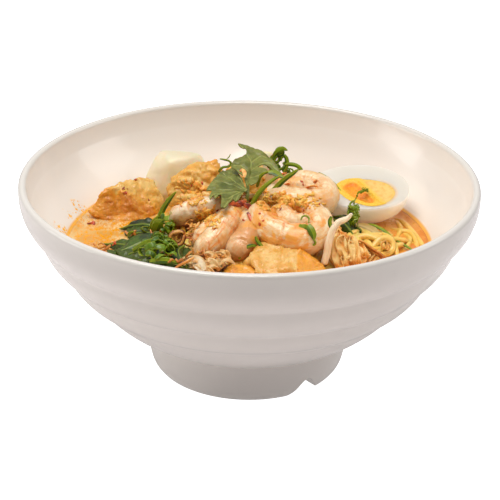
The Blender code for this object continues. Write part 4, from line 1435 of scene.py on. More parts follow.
# %% Curled shreds
curls = [
    curl([(-17, 38, 106.8), (-14.4, 37.4, 106.6), (-11.8, 37, 106), (-10.8, 37, 104.4)], 0.55),
    curl([(-13.4, 38, 106.4), (-11.8, 38.5, 107.8), (-11, 39, 109.4)], 0.3, 0.3),
    curl([(-11, 37, 106), (-10.6, 37, 104), (-12.2, 36.4, 102.8), (-14.8, 36, 102.6),
          (-16.4, 36, 101.4), (-17, 37, 99.6), (-16.2, 38, 98), (-13.6, 39, 97.8),
          (-11.4, 39.4, 98.6)], 0.7, 0.5),
    # The knob of shreds at the upper right.
    swirl((16.8, 40, 110.4), 2.2, 1.1, 0.4, 1.3, 0.5, 0.5),
    swirl((14.4, 40, 106.8), 2.5, 1.1, 2.4, 0.9, 0.45, 0.35),
    swirl((18.8, 39, 106.6), 2.2, 0.9, 4.4, 0.9, 0.4, 0.3),
    blade([(13, 39, 108), (15, 38.6, 111), (18, 39, 113), (21, 39, 112)], 1.6),
    curl([(15, 38, 109), (13.2, 38, 106), (13.6, 37, 103), (16.4, 36, 101.4)], 1.1),
    curl([(19, 38, 110), (20.6, 37, 107), (20.4, 36, 103.6), (18.4, 35, 100.6)], 1.2),
    curl([(19.6, 33, 106), (22.4, 32, 106.6), (25.6, 31, 106.4), (28, 30.4, 104.8),
          (28.6, 30, 102.4), (27, 30, 100.6), (24.8, 30, 101), (24.4, 30, 102.6)], 1.15, 0.45),
    # The shreds on the greens at the left.
    blade([(-51, 0, 78), (-50.4, -0.6, 81), (-49, -1, 84), (-47, -1, 86)], 3.2),
    blade([(-62, -30, 80), (-57, -31, 84), (-51, -31, 86.6), (-45, -32, 87)], 1.6),
    blade([(-52, -50, 83), (-47, -52, 84.6), (-41, -52, 84.6), (-36, -52, 83)], 1.8),
    # Ends of the shreds that stand up over the floating greens.
    blade([(-66, -4, 77), (-64.6, -6, 80), (-62.4, -8, 82)], 1.1),
    # The yellow-green sprout tip by the front tofu.
    curl([(3.6, -35, 92), (4.6, -36, 89.6), (6.6, -37, 87.6), (8, -38, 85.6)], 1.0),
    curl([(4, -37, 87.4), (1, -38, 87.8), (-2, -38.6, 86.4), (-4, -39, 83.4),
          (-5, -39.4, 80.6)], 1.0),
]
print("curled shreds:", len(curls))

# %% Slices of onion leaf
# They lie over the greens. Each row: centre, radius, half width, how much of a turn.
SLICED = [
    ((-51.6, -38, 86), 3.2, 1.9, 0.9), ((-46.4, -41, 86.6), 2.8, 1.8, 0.8),
    ((-41.6, -41, 86.4), 2.5, 1.5, 0.9), ((-52, -46, 85), 2.8, 1.7, 0.7),
    ((-46, -50, 84.8), 3.0, 1.9, 0.9), ((-56, -38, 83.6), 2.4, 1.5, 0.6),
    ((-49.4, -32, 87), 2.2, 1.6, 0.9), ((-40, -47, 85.4), 2.4, 1.5, 0.7),
    ((-45, 4, 86.2), 3.0, 1.9, 0.8), ((-43.4, 2, 80.6), 2.6, 1.7, 0.9),
    ((-41.4, 4, 85), 2.0, 1.5, 0.7), ((-48.4, 0, 79.4), 2.4, 1.6, 0.9),
    ((-57, 2, 79), 2.2, 1.3, 0.9), ((-55, -28, 84), 2.2, 1.4, 0.6), ((-43, -35, 87), 2.4, 1.4, 0.7),
]
slicer = random.Random(17)
rings = []
for centre, radius, half, turns in SLICED:
    across = Vector((1, slicer.uniform(-0.8, 0.8), slicer.uniform(-0.6, 0.6)))
    rise = Vector((slicer.uniform(-0.5, 0.5), slicer.uniform(-1.2, 0.4), 1))
    rise -= across * rise.dot(across) / across.length_squared
    start, squash = slicer.uniform(0, 6.3), slicer.uniform(0.6, 1.0)
    rings.append(ring_strip(centre, across, rise, radius, half, 0.3, start, turns, squash))
print("slices:", len(rings))

# %% A small sprig at the front, and the finishes
sprig = [
    curl([(27.5, -29, 99), (28.4, -28, 100.8), (30.4, -28, 101.2), (31.9, -29, 100),
          (31.6, -31, 98.2)], 0.5),
    blade([(26.4, -33, 97.6), (28.4, -34.4, 97.4), (30.4, -35.4, 98), (32, -35.6, 98.6)], 1.7),
    blade([(31.2, -35, 99), (32.6, -37, 97.6), (34, -38.6, 95), (34.6, -39.6, 92)], 2.0),
    curl([(34.2, -39.6, 93), (35.2, -40, 91.4), (34.8, -40, 90), (33.8, -40, 89.6)], 0.6),
    blade([(43.8, -31, 102.4), (42.8, -32.4, 100.4), (43.2, -33.6, 98), (44, -34, 96)], 1.1),
]
GREENS = [
    ("herb_stem", stems, (84, 88, 22), (118, 122, 44), (110, 116, 40), 0.3),
    ("onion_blade", blades, (60, 94, 0), (110, 132, 2), (150, 164, 28), 0.3, 0.55, True),
    ("onion_curl", curls + rings + sprig,
     (48, 84, 0), (104, 136, 2), (140, 160, 20), 0.35, 0.55, True),
]
for name, group, *finish in GREENS:
    finish_piece(joined(group, name + "s"), leaf_finish(name, *finish), "coriander")

# %% [markdown]
# ## Wilted greens
# Water spinach goes dark, slick and limp in hot broth. Each leaf is a thin sheet with a fold
# along its midrib and a rippled edge. One flat leaf is shaped from a grid; copies of it are
# laid over the pile in different ways, over a core of crushed leaf that fills the gaps.

# %% One flat leaf and its copies
def sheet_blank(name, across, along):
    """A flat strip from 0 to 1 along X and -1 to 1 along Y, one face thick."""
    clear_selection()
    bpy.ops.mesh.primitive_grid_add(x_subdivisions=along, y_subdivisions=across, size=2)
    piece = named(name)
    blanks.append(piece)
    return moved(piece, lambda p, n: Vector(((p.x + 1) / 2, p.y, 0)))


leaf_blank = sheet_blank("leaf_blank", 14, 36)
print("leaf blank:", len(leaf_blank.data.vertices), "points")


def laid_leaf(track, hint, fold, ripple, seed):
    """A leaf laid along a midrib of (x, y, z, half width) in millimetres. The fold drops its
    two halves from the midrib, and the ripple grows towards its edge."""
    length = sum((Vector(b[:3]) - Vector(a[:3])).length for a, b in zip(track, track[1:]))

    def shape(p, n):
        wide = max(0.03, math.sin(math.pi * min(0.999, max(0.001, p.x))) ** 0.7)
        edge = abs(p.y)
        at = Vector((p.x * length * 0.16, p.y * 1.3, seed))
        wave = noise.noise(at) * 1.4 + noise.noise(at * 2.3) * 0.45
        z = -fold * edge**1.2 + ripple * edge**1.5 * wave + 0.12 * noise.noise(at * 4)
        return Vector((p.x, p.y * wide * (1 + 0.1 * wave), z * wide))

    piece = moved(copy_of(leaf_blank), shape)
    rows = [(x, y, z, 1.0, half) for x, y, z, half in track]
    thickened(lay_along(piece, rows, hint, 6, closed_ends=False), 0.45)
    # The third number kept for each point becomes its distance from the midrib.
    kept = np.zeros(len(piece.data.vertices) * 3, np.float32)
    piece.data.attributes["blank"].data.foreach_get("vector", kept)
    kept[2::3] = np.abs(kept[1::3])
    keep(piece, kept)
    return piece


# %% Leaves in the piles
# Midribs in millimetres with half widths; each leaf lies over the one before it.
FRONT_LEAVES = [
    ([(-79, -6, 73.4, 2), (-70, -12, 76, 5), (-62, -20, 78, 5.5),
      (-56, -30, 78, 3)], (-0.2, -0.4, 0.9), 2.4, 2.0),
    ([(-74, -22, 74, 2), (-65, -20.3, 77.6, 6), (-57, -17, 80, 7), (-48.5, -15.7, 81.4, 6),
      (-41, -13, 81, 3)], (-0.1, -0.5, 0.86), 2.6, 1.4),
    ([(-68, -27, 75.5, 2), (-59, -29, 79.5, 6), (-50, -31, 81.5, 7), (-40, -35, 82, 6),
      (-31, -42, 80, 3)], (-0.2, -0.5, 0.85), 3.0, 2.0),
    ([(-62, -36, 77.5, 2), (-53, -42, 80.4, 6), (-44, -47, 82, 6.5), (-35, -52, 81.6, 5),
      (-26, -57, 79.5, 2)], (-0.2, -0.6, 0.8), 3.2, 2.4),
    ([(-55, -20, 81, 2), (-52, -29, 83.6, 5), (-50, -38, 84, 5.5), (-48, -46, 82.5, 4.5),
      (-46, -54, 80, 2)], (-0.4, -0.3, 0.86), 3.4, 2.4),
    ([(-34, -30, 84, 2), (-37, -38, 85, 4.6), (-36, -46, 84.4, 5),
      (-32, -54, 82, 3)], (0.3, -0.3, 0.9), 3.0, 2.4),
]
LEFT_LEAVES = [
    ([(-72, 14, 73.6, 2), (-64, 12, 77, 4.6), (-55, 8, 79, 5),
      (-46, 2, 77, 3)], (-0.1, -0.5, 0.85), 3.0, 2.2),
    ([(-67, 5, 74, 2), (-59, 2, 77, 4), (-51, -1, 78, 4.4),
      (-42, -4, 77, 2)], (0.0, -0.5, 0.85), 2.8, 2.4),
    ([(-60, 18, 75, 2), (-53, 14, 79, 3.6), (-46, 11, 79, 2)], (0.1, -0.3, 0.9), 2.4, 1.8),
]
RIGHT_LEAVES = [
    ([(42, 6, 84, 2), (47, 3, 86, 3.6), (52, 1, 85, 3.8),
      (57, -3, 80, 2)], (0.1, -0.5, 0.85), 2.8, 2.2),
    ([(46, 12, 84, 2), (52, 10, 85, 3.6), (57, 8, 82, 3.8),
      (64, 5, 77, 2)], (0.2, -0.4, 0.9), 2.6, 2.2),
]
BACK_LEAVES = [
    ([(30, 52, 82, 3), (22, 58, 83, 6), (12, 62, 80, 6),
      (2, 66, 75, 3)], (0.1, 0.5, 0.85), 2.6, 2.0),
    ([(44, 58, 76, 3), (35, 60, 79, 5), (25, 66, 77, 5),
      (16, 71, 74, 3)], (0.1, 0.5, 0.85), 2.6, 2.0),
]
# A pale, soft stem of the greens floats beside the noodles at the right.
FLOATING = [
    ([(55, 17, 77, 2.4), (62, 13.6, 78, 3.8), (68, 8, 77.6, 3.8),
      (74, 1, 75.6, 2.4)], (0.1, -0.5, 0.86), 1.2, 0.7),
]


wilted = leaf_finish("wilted_leaf", (14, 30, 0), (68, 92, 0), (124, 140, 26), 0.3, 0.5)
soaked = leaf_finish("soaked_stem", (168, 136, 74), (196, 168, 104), (206, 180, 120), 0.5, 0.9)
for name, leaves, seed, finish in (
        ("front_greens", FRONT_LEAVES, 1.0, wilted), ("left_greens", LEFT_LEAVES, 21.0, wilted),
        ("right_greens", RIGHT_LEAVES, 31.0, wilted), ("back_greens", BACK_LEAVES, 41.0, wilted),
        ("floating_stem", FLOATING, 51.0, soaked)):
    sheets = [laid_leaf(*leaf, seed + 3.0 * i) for i, leaf in enumerate(leaves)]
    finish_piece(joined(sheets, name), finish, "greens")

# %% The crushed leaf inside the piles
crushed = leaf_finish("crushed_leaf", (8, 20, 0), (36, 58, 0), (76, 92, 16), 0.3, 0.5)
for name, node, wrinkles, shrink in (
        ("front_crush", "greens_front", [(7, 2.2, 3), (3, 0.8, 5)], 2.2),
        ("left_crush", "greens_left", [(6, 1.6, 3), (3, 0.6, 5)], 1.6),
        ("right_crush", "greens_right", [(6, 1.4, 3), (3, 0.6, 5)], 1.4)):
    piece = sculpted(name, node, 1.2, 3, wrinkles, shrink=shrink)
    finish_piece(piece, crushed, "greens", node)


# %% [markdown]
# ### Curly herb
# Sprigs of curly leaf sit on the greens, on the front prawn and at the egg. Their frilled
# edges are little ribbons that wind back and forth about a stem.

# %% Curly herb
def drawn(dice, *ranges):
    """A direction whose parts are drawn from these ranges."""
    return Vector([dice.uniform(low, high) for low, high in ranges])


def frill(points, spread, seed, count, width, thick):
    """Wound ribbons along a stem of points in millimetres."""
    dice = random.Random(seed)
    stem = rounded(points, 6)
    ribbons = [strip([(*p, min(0.4, thick), min(0.4, width)) for p in stem[::3]], (0.3, -1, 0.2))]
    for _ in range(count):
        origin = dice.choice(stem[2:])
        away = drawn(dice, (-1, 1), (-1, 0.6), (-0.5, 1)).normalized()
        cross = away.cross(drawn(dice, (-1, 1), (-1, 1), (-1, 1))).normalized()
        track = []
        for i in range(7):
            t = i / 6
            wind = math.sin(t * 7 + dice.uniform(-0.4, 0.4)) * spread * 0.38
            place = origin + away * spread * t * (1 - 0.35 * t) + cross * wind
            place += away.cross(cross) * math.cos(t * 6) * spread * 0.22
            track.append((*place, width * (1 - 0.35 * t), thick))
        ribbons.append(strip(track, tuple(cross + away * 0.4)))
    return ribbons


FRILLS = [
    ([(-52, -20, 83), (-49, -24, 85.4), (-47, -28, 86)], 5.4, 3, 9, 2.0, 0.3),
    ([(-45, -30, 85), (-42, -35, 86), (-40, -39, 85)], 5.0, 13, 8, 1.9, 0.3),
    ([(-54, -36, 82), (-50, -42, 83.6), (-46, -46, 83.6)], 4.6, 4, 7, 1.8, 0.3),
    ([(-44, 1, 78), (-43, 3, 80), (-41, 4, 81)], 4.6, 5, 6, 1.8, 0.3),
    ([(57.6, 5, 83), (57.4, 8, 87), (57, 10, 91)], 5.2, 6, 40, 0.7, 0.22),
    ([(57, 10, 92), (58.6, 13, 94.6), (60, 16, 96)], 1.2, 16, 4, 0.3, 0.15),
    ([(60, 26, 92), (63.4, 28, 93), (66, 30, 93)], 2.6, 8, 12, 0.4, 0.15),
    ([(10, 52, 98), (16, 50, 97), (22, 47, 95)], 4.6, 10, 12, 1.2, 0.35),
]
herbs = [ribbon for sprig in FRILLS for ribbon in frill(*sprig)]
herb_paint = leaf_finish("curly_herb", (54, 90, 0), (130, 152, 4), (124, 144, 8), 0.35)
finish_piece(joined(herbs, "curly_herbs"), herb_paint, "coriander")

# %% [markdown]
# ## Tofu skin, cabbage and bean sprout
# Tofu skin comes as a thin sheet that gathers into ruffles when it fries. Pleated sheets,
# laid against one another over a creased core, look just like it. The cabbage under the
# front prawn is a few wet shreds, and one thick bean sprout stands up.

# %% Tofu skin
def paper_finish(name, scale, light, dark, char):
    """Thin fried skin: cream on the crests, brown at a shred's edges and where it is burnt,
    and painted darker deep in its folds and wrinkles, a painted shade.
    """
    paint = moist(name, 0.1, 0.002, 0.3, 0.18)
    body, place = paint.body(), paint.place()
    broad, fine = paint.noise(place, scale, 4, 0.6), paint.noise(place, scale * 5, 3, 0.65)
    edge = paint.axis(body, "Y").size()
    colour = paint.mix(light, dark, broad.between(0.44, 0.62))
    # Painted shade deep in folds and wrinkles, where the mask reads their depth; on a shred the
    # same mask browns its edges.
    colour = colour.under(dark, edge.between(0.6, 1.5) * 0.7)
    burnt = broad.between(0.56, 0.7) * fine.between(0.45, 0.6)
    colour = colour.under(char, burnt * 0.85)
    return paint.done(colour, 0.36 + fine * 0.25, fine + broad * 0.5, 0.0005, 0.5)


def pleated(track, hint, folds, depth, seed, thickness):
    """A sheet gathered into folds that run its length, laid along rows of (x, y, z, half
    width). Each point keeps how deep in a fold it lies."""
    low = []

    def gather(p, n):
        wander = noise.noise(Vector((p.x * 2.2, p.y * 1.1, seed)))
        wave = math.sin(math.pi * folds * (p.y + 1.3 * wander + 0.35 * p.x))
        wave += 1.5 * noise.noise(Vector((p.x * 3.6, p.y * folds * 0.7, seed + 5)))
        low.extend((0, 0.6 - 0.6 * wave, 0))
        return Vector((p.x, p.y * (1 + 0.2 * wander), wave * depth))

    piece = moved(copy_of(cloth_blank), gather)
    lay_along(piece, [(x, y, z, 1.0, half) for x, y, z, half in track], hint, 6, closed_ends=False)
    keep(piece, low)
    return thickened(piece, thickness)


dice = random.Random(21)
cloth_blank = sheet_blank("cloth_blank", 48, 30)
skin = [
    sculpted("skin_core", "tofu_skin", 0.6, 3, [(3.6, 2.2, 4), (1.8, 1.0, 8)],
             shrink=1.6, creased=True)]
SKIN = [
    ([(49, -27, 90), (48, -31, 86.4), (49, -34.4, 80), (51, -37, 73)], (-0.3, -0.8, 0.5), 4.0),
    ([(54, -26, 89), (54.4, -30.6, 85), (55.4, -34, 79), (57, -36, 73)], (0.0, -0.85, 0.5), 4.4),
    ([(59, -25, 85), (60, -29, 82), (60, -32, 77), (61, -34.6, 72.6)], (0.3, -0.8, 0.5), 4.0),
    ([(64, -24, 80), (65.6, -27, 77.6), (67, -29, 74), (68, -31, 72)], (0.2, -0.7, 0.7), 3.4),
    ([(46.6, -28, 85), (46.6, -32, 82), (48, -35.6, 77), (50, -38, 72.6)], (-0.4, -0.8, 0.3), 2.8),
]
for k, (track, hint, half) in enumerate(SKIN):
    rows = [(*point, half * share) for point, share in zip(track, (0.6, 1, 1.05, 0.8))]
    skin.append(pleated(rows, hint, 1.7 + 0.4 * (k % 2), 1.25, 3.0 * k, 0.35))
for k in range(4):
    centre = (50 + k * 4, -29 - k * 0.6, 88.6 - k * 2.6)
    skin.append(swirl(centre, 1.9, 0.6, dice.uniform(0, 6), 0.5, 0.9, 0.2))
fried_skin = paper_finish("tofu_skin", 90, (250, 212, 138), (232, 158, 62), (196, 106, 30))
finish_piece(joined(skin, "tofu_skin_ruffle"), fried_skin, "tofu_skin", "tofu_skin")

# %% Bean sprout
sprout = strip(
    [(40, -40, 78, 1.9, 1.9), (41.4, -39, 84, 2.05, 2.05), (42.6, -37.6, 91, 2.0, 2.0),
     (44.4, -35.8, 96.6, 1.95, 1.9), (47.2, -34, 100.2, 1.8, 1.8), (50.4, -32.6, 101.2, 1.6, 1.6),
     (52.6, -31.6, 102.2, 1.25, 1.2), (54.6, -31, 104.6, 0.8, 0.8)], (0, -1, 0.3))


def sprout_finish():
    paint = moist("bean_sprout", 0.12, 0.002, 0.4, 0.15)
    body, place = paint.body(), paint.place()
    grain = paint.noise(paint.stretched(body, (0.12, 1.6, 1.6)), 1.2, 3, 0.6)
    cloud = paint.noise(place, 90, 3)
    colour = paint.mix((240, 212, 168), (252, 236, 204), cloud.between(0.35, 0.6))
    colour = colour.under((222, 172, 112), grain.between(0.54, 0.68) * 0.6)
    return paint.done(colour, 0.26 + cloud * 0.12, grain, 0.0006, 0.7)


finish_piece(joined([sprout], "sprout_stalk"), sprout_finish(), "sprout", "bean_sprout")

# %% Cabbage shreds
core = sculpted("cabbage_core", "cabbage", 0.8, 3, [(3.4, 2.0, 2), (1.7, 0.9, 5)],
                shrink=2.6, creased=True)
cabbage = []
CABBAGE = [
    ([(-36, -46, 81), (-31, -48.6, 83.6), (-26, -51, 83.4),
      (-22, -53, 81)], (0.0, -0.7, 0.7), 3.4, 1.6),
    ([(-26, -44, 83), (-21, -47, 85), (-16, -50, 84.6),
      (-13, -53, 82)], (0.1, -0.7, 0.7), 3.6, 2.2),
    ([(-25, -50, 82), (-21, -51.6, 84.4), (-17, -53, 84),
      (-14, -54.4, 81.6)], (0.0, -0.6, 0.8), 3.0, 2.0),
    ([(-18, -43, 84.6), (-15, -45, 86.2), (-12, -47, 85.8),
      (-9.6, -49, 83.2)], (0.1, -0.7, 0.7), 2.8, 2.0),
    ([(-31, -53.6, 80.4), (-26, -56, 81.8), (-21, -57.6, 81.4),
      (-17, -58.6, 79.6)], (0.0, -0.7, 0.7), 2.8, 1.8),
]
for k, (track, hint, half, folds) in enumerate(CABBAGE):
    rows = [(*point, half * share) for point, share in zip(track, (0.5, 1.0, 1.0, 0.45))]
    cabbage.append(pleated(rows, hint, folds * 0.6, 1.0, 40.0 + 3.0 * k, 0.3))
for k in range(3):
    x, y = -28 + k * 8 + dice.uniform(-1, 1), -47 - dice.uniform(0, 8)
    z = 83.4 + dice.uniform(-0.6, 1.4)
    around = dice.uniform(-0.9, 0.9)
    run = Vector((math.cos(around), math.sin(around), 0)) * dice.uniform(4, 7)
    arch = dice.uniform(0.8, 2.6)
    rows = [
        (-1, -1.4, 0.2, 0.6), (-0.4, arch, 0.28, 1.0), (0.3, arch * 0.9, 0.28, 1.1),
        (1, -1.2, 0.2, 0.5),
    ]
    cabbage.append(strip(
        [(x + run.x * t, y + run.y * t, z + rise, thick, half) for t, rise, thick, half in rows],
        (dice.uniform(-0.3, 0.3), -0.7, 0.7)))
# A pale piece of rib, smoother than the shreds, lies at their left end.
rib = pleated(
    [(-31, -48, 83.6, 0.5), (-28.4, -51, 84.8, 2.2), (-25.6, -55, 84.2, 2.9),
     (-23.4, -59, 82, 1.7)], (0.15, -0.7, 0.7), 0.6, 0.5, 71.0, 0.3)
wet = paper_finish("wet_cabbage", 120, (226, 190, 134), (212, 152, 74), (172, 102, 36))
soaked = paper_finish("soaked_cabbage", 160, (170, 118, 58), (112, 66, 24), (70, 44, 14))
white = paper_finish("white_cabbage", 100, (222, 200, 168), (206, 178, 134), (186, 150, 100))
finish_piece(joined(cabbage, "cabbage_shreds"), wet, "cabbage")
finish_piece(core, soaked, "cabbage", "cabbage")
finish_piece(joined([rib], "cabbage_rib"), white, "cabbage")

# %% [markdown]
# ### Fried shallot
# Shallot fries to brown rings and curled shreds, darkest at their edges.

# %% Fried shallot
def shallot_finish():
    paint = moist("fried_shallot", 0.15, 0.002, 0.3, 0.2)
    body, place = paint.body(), paint.place()
    edge = paint.axis(body, "Y").size()
    cloud, fine = paint.noise(place, 150, 4, 0.6), paint.noise(place, 700, 2)
    colour = paint.mix((226, 164, 76), (186, 104, 32), cloud.between(0.42, 0.6))
    colour = colour.under((116, 46, 12), edge.between(0.35, 0.8) * cloud.between(0.3, 0.5))
    return paint.done(colour, 0.34 + fine * 0.2, fine, 0.0004, 0.5)


# Centre, the two directions of its plane, radius, half width, half depth, start, turns, squash.
FACING, TILTED = ((1, 0, 0.1), (0, 0.41, 0.91)), ((1, 0.2, -0.2), (0.1, 0.2, 0.9))
UPRIGHT = ((1, 0, 0), (0, 0.41, 0.91))
RINGS = [
    ((-38.2, -24.5, 85.6), FACING, 3.7, 1.8, 1.25, 0.4, 1.02, 0.95),
    ((-37.8, -23, 85.2), FACING, 2.1, 1.1, 0.7, 2.0, 1.1, 0.9),
    ((-37.4, -22, 85), FACING, 0.7, 0.8, 0.6, 2.0, 1.1, 0.9),
    ((-32.5, -22, 82.6), TILTED, 3.2, 1.2, 0.5, 1.0, 0.7, 0.7),
    ((73.6, -14.8, 79.4), UPRIGHT, 1.5, 0.6, 0.5, 0.4, 1.2, 1.2),
    ((75.4, -15, 78), UPRIGHT, 1.2, 0.6, 0.4, 2.4, 1.1, 1.2),
]
shallots = [ring_strip(centre, *plane, *rest) for centre, plane, *rest in RINGS]
# Golden shreds float by the rim at the left, and a few curl up from the greens.
GOLDEN = [
    (-80, -12, 74, 4.0, 0.8), (-77, -15, 74, 3.4, 0.7), (-82, -9, 74, 3.0, 0.6),
    (-65, 0, 77, 3.2, 1.0), (-64, 4, 75, 2.6, 0.8), (-36, -52, 84.6, 2.4, 0.8),
    (-31.4, -48, 86.4, 2.6, 0.7), (-41, -52, 84.4, 2.0, 0.6),
]
for x, y, z, reach, half in GOLDEN:
    lean = dice.uniform(-0.6, 0.9)
    over, up = reach * math.cos(lean), reach * math.sin(lean)
    shallots.append(strip([
        (x - over, y + 1, z - up, 0.3, half * 0.6), (x - reach * 0.3, y - 0.6, z, 0.35, half),
        (x + reach * 0.4, y, z + 1.2 + 0.3 * up, 0.35, half),
        (x + over, y + 0.4, z + up, 0.3, half * 0.6)]))
shallots.append(strip([
    (-39, -56, 81.6, 0.5, 0.5), (-36, -55.4, 83.8, 0.6, 0.8), (-32, -54.4, 85.8, 0.6, 0.9),
    (-28.4, -53, 87.4, 0.5, 0.6),
]))
# The long shreds at the right of the tofu skin.
LONG = [(59, -24, 83.5, 0.7, 0.5), (62, -24.6, 82.4, 1.3, 0.5), (66, -25, 79.8, 1.7, 0.6),
        (70, -25.6, 77.4, 1.5, 0.6), (73.4, -26, 74.8, 1.1, 0.5)]
for right, back, up, bow in (
        (0, 0, 0, 1.2), (1.2, -1.0, 1.4, 0.4), (2.4, 0.6, -1.4, 1.8), (-0.6, -1.6, 2.6, 0.8)):
    shallots.append(strip([(x + right, y + back, z + up + bow * (k == 1), half, deep)
                           for k, (x, y, z, half, deep) in enumerate(LONG)], (0.2, -0.8, 0.5)))
# Shreds over the cabbage, under the split prawn, on the greens and among the noodles.
PATCHES = [
    ((-24, -45.5, 85.4), (5.5, 3.5, 2.2), 24, 5.0), ((-16, -49, 86), (4, 3, 1.6), 12, 4.6),
    ((-29, -6, 85), (6, 5, 2.6), 22, 5.0), ((-27, -14, 87), (5, 5, 2.2), 14, 5.0),
    ((-31, -24, 85), (4, 4, 1.6), 8, 4.6), ((-42, -43, 84), (6, 4, 1), 6, 4.4),
    ((-47, 0, 78.6), (9, 6, 1), 10, 4.2), ((64, -30, 75.4), (4, 3, 1.4), 9, 3.8),
    ((-2, 2, 99), (3.4, 4, 2), 8, 4.2), ((2, -2, 97), (3, 3, 2), 6, 4.0),
    ((-64, -6, 73.6), (9, 5, 0.4), 6, 3.6),
]
# How far along the shred and to its side, the share of its half width, and its half depth.
SHRED = [(-0.5, 0, 0.6, 0.28), (0, 0.7, 1, 0.34), (0.3, 1, 1, 0.34), (0.55, 0.4, 0.5, 0.28)]
for centre, spread, count, length in PATCHES:
    for _ in range(count):
        place = Vector(centre) + Vector([dice.gauss(0, 0.5) * s for s in spread])
        heading = drawn(dice, (-1, 1), (-1, 0.4), (-0.5, 0.5)).normalized()
        side = heading.cross(Vector((dice.uniform(-0.5, 0.5), 0.3, 1))).normalized()
        reach = length * dice.uniform(0.5, 1.0)
        bow = dice.uniform(-0.4, 0.4) * reach
        half = dice.uniform(0.35, 0.85)
        shallots.append(strip([
            (*(place + heading * reach * along + side * bow * aside), half * wide, thick)
            for along, aside, wide, thick in SHRED], side))
finish_piece(joined(shallots, "fried_shallots"), shallot_finish(), "greens")

# %% [markdown]
# ## Crumbs, flakes and droplets
# Fried garlic, chilli flakes and drops of red oil are what make soup look eaten rather than
# cast. Each kind is one small lump, modelled once, with a few dozen faces. Copies are dropped
# along rays onto what they lie on, and sunk a little into it.

# %% Where a ray meets the food
def surface_of(pieces):
    """A tree of the triangles of these pieces, for casting rays at them."""
    points, faces = [], []
    for piece in pieces:
        base = len(points)
        points += [v.co.copy() for v in piece.data.vertices]
        faces += [[base + i for i in face.vertices] for face in piece.data.polygons]
    return BVHTree.FromPolygons(points, faces)


SOLID = ("prawn", "split", "tofu", "noodle_strands", "front_greens", "radish", "egg")
solid_pieces = [piece for piece in made if piece.name.startswith(SOLID)]
food_surface = surface_of(solid_pieces)
print("crumbs can fall on", len(solid_pieces), "pieces")
# Rays fall as the eye looks, from in front and above.
LOOK, SIDE = Vector((0, 0.91, -0.41)), Vector((1, 0, 0))


def lump(name, stretch, rough, detail, seed):
    """A crumb about 1 mm across, stretched and roughened."""
    clear_selection()
    bpy.ops.mesh.primitive_ico_sphere_add(subdivisions=detail, radius=0.5 * MM)
    piece = named(name)
    blanks.append(piece)
    moved(piece, lambda p, n: p * Vector(stretch) * (
        1 + rough * noise.noise(p / MM * 2.6 + Vector((seed, 0, 0)))))
    return smooth(piece)


def dropped(kind, dice, centre, spread, count, sizes, sink=0.25, surface=food_surface):
    """Copies of a lump where rays through a patch meet the food. Millimetres."""
    up = SIDE.cross(LOOK).normalized()
    found = []
    for _ in range(count):
        place = Vector(centre) + SIDE * dice.gauss(0, 0.5) * spread[0]
        place += up * dice.gauss(0, 0.5) * spread[1]
        hit, normal, _, _ = surface.ray_cast((place - LOOK * 40) * MM, LOOK, 90 * MM)
        if hit is None:
            continue
        size = dice.uniform(*sizes)
        piece = copy_of(kind)
        turn = normal.to_track_quat("Z", "Y").to_matrix().to_4x4()
        turn = turn @ Matrix.Rotation(dice.uniform(0, 6.3), 4, "Z")
        turn = turn @ Matrix.Rotation(dice.uniform(-0.5, 0.5), 4, "X")
        place = Matrix.Translation(hit + normal * (0.5 - sink) * 0.5 * size * MM)
        piece.data.transform(place @ turn @ Matrix.Scale(size, 4))
        found.append(piece)
    return found


# %% Garlic crumbs and chilli flakes
crumb_a = lump("crumb_a", (1.4, 0.8, 0.6), 1.3, 2, 1.0)
crumb_b = lump("crumb_b", (1.1, 1.0, 0.6), 1.6, 2, 5.0)
clump = lump("clump", (1.3, 0.9, 0.7), 1.5, 3, 9.0)
chip = lump("chip", (1.2, 0.8, 0.28), 0.7, 1, 3.0)
dice = random.Random(33)
garlic, chilli = [], []
# Where each patch is, how far it spreads sideways and upwards, how many lumps, their sizes.
GARLIC = [
    ((9, -14, 104), (5, 5), 40, (1.2, 3.4)), ((16, -9, 102), (6, 3.5), 34, (1.2, 3.4)),
    ((26, -8, 102), (8, 3), 34, (1.0, 3.0)), ((36, -12, 101), (5, 5), 12, (0.9, 2.0)),
    ((-9, -9, 101), (5, 4), 9, (0.9, 2.2)), ((-20, -20, 95), (6, 6), 26, (0.9, 2.8)),
    ((-24, -12, 93), (6, 4), 22, (1.0, 2.8)), ((-28, 12, 94), (9, 5), 34, (1.0, 3.2)),
    ((-34, 22, 96), (8, 5), 22, (1.0, 2.8)), ((-12, 30, 104), (6, 3), 9, (0.9, 2.4)),
    ((4, 20, 104), (6, 4), 12, (0.9, 2.4)),
]
CLUMPS = [
    ((9, -13, 104), (4, 4), 5, (3.4, 5.0)), ((18, -8, 102), (7, 3), 9, (3.6, 6.0)),
    ((29, -9, 101), (6, 3), 5, (3.0, 4.6)), ((-30, 14, 94), (8, 4), 6, (3.4, 5.2)),
    ((-21, -14, 94), (6, 4), 6, (3.4, 5.0)),
]
for patch in GARLIC:
    garlic += dropped(crumb_a if patch[2] % 4 else crumb_b, dice, *patch, sink=0.62)
for patch in CLUMPS:
    garlic += dropped(clump, dice, *patch, sink=0.75)
CHILLI = [
    ((-66, 38, 86), (20, 8), 4), ((-31, 28, 94), (9, 8), 5), ((5, -22, 98), (12, 8), 5),
    ((-14, -20, 95), (14, 12), 5), ((30, -24, 96), (14, 8), 3), ((28, 14, 100), (20, 8), 4),
]
for patch in CHILLI:
    chilli += dropped(chip, dice, *patch, (0.8, 2.2))
print("garlic crumbs:", len(garlic), "chilli flakes:", len(chilli))


# %% Crumb finishes
def crumb_finish(name, light, dark):
    paint = moist(name, 0.2, 0.002, 0.3, 0.2)
    place = paint.place()
    cloud, fine = paint.noise(place, 300, 3), paint.noise(place, 1200, 2)
    colour = paint.mix(light, dark, cloud.between(0.42, 0.62))
    return paint.done(colour, 0.3 + fine * 0.2, fine, 0.0003, 0.5)


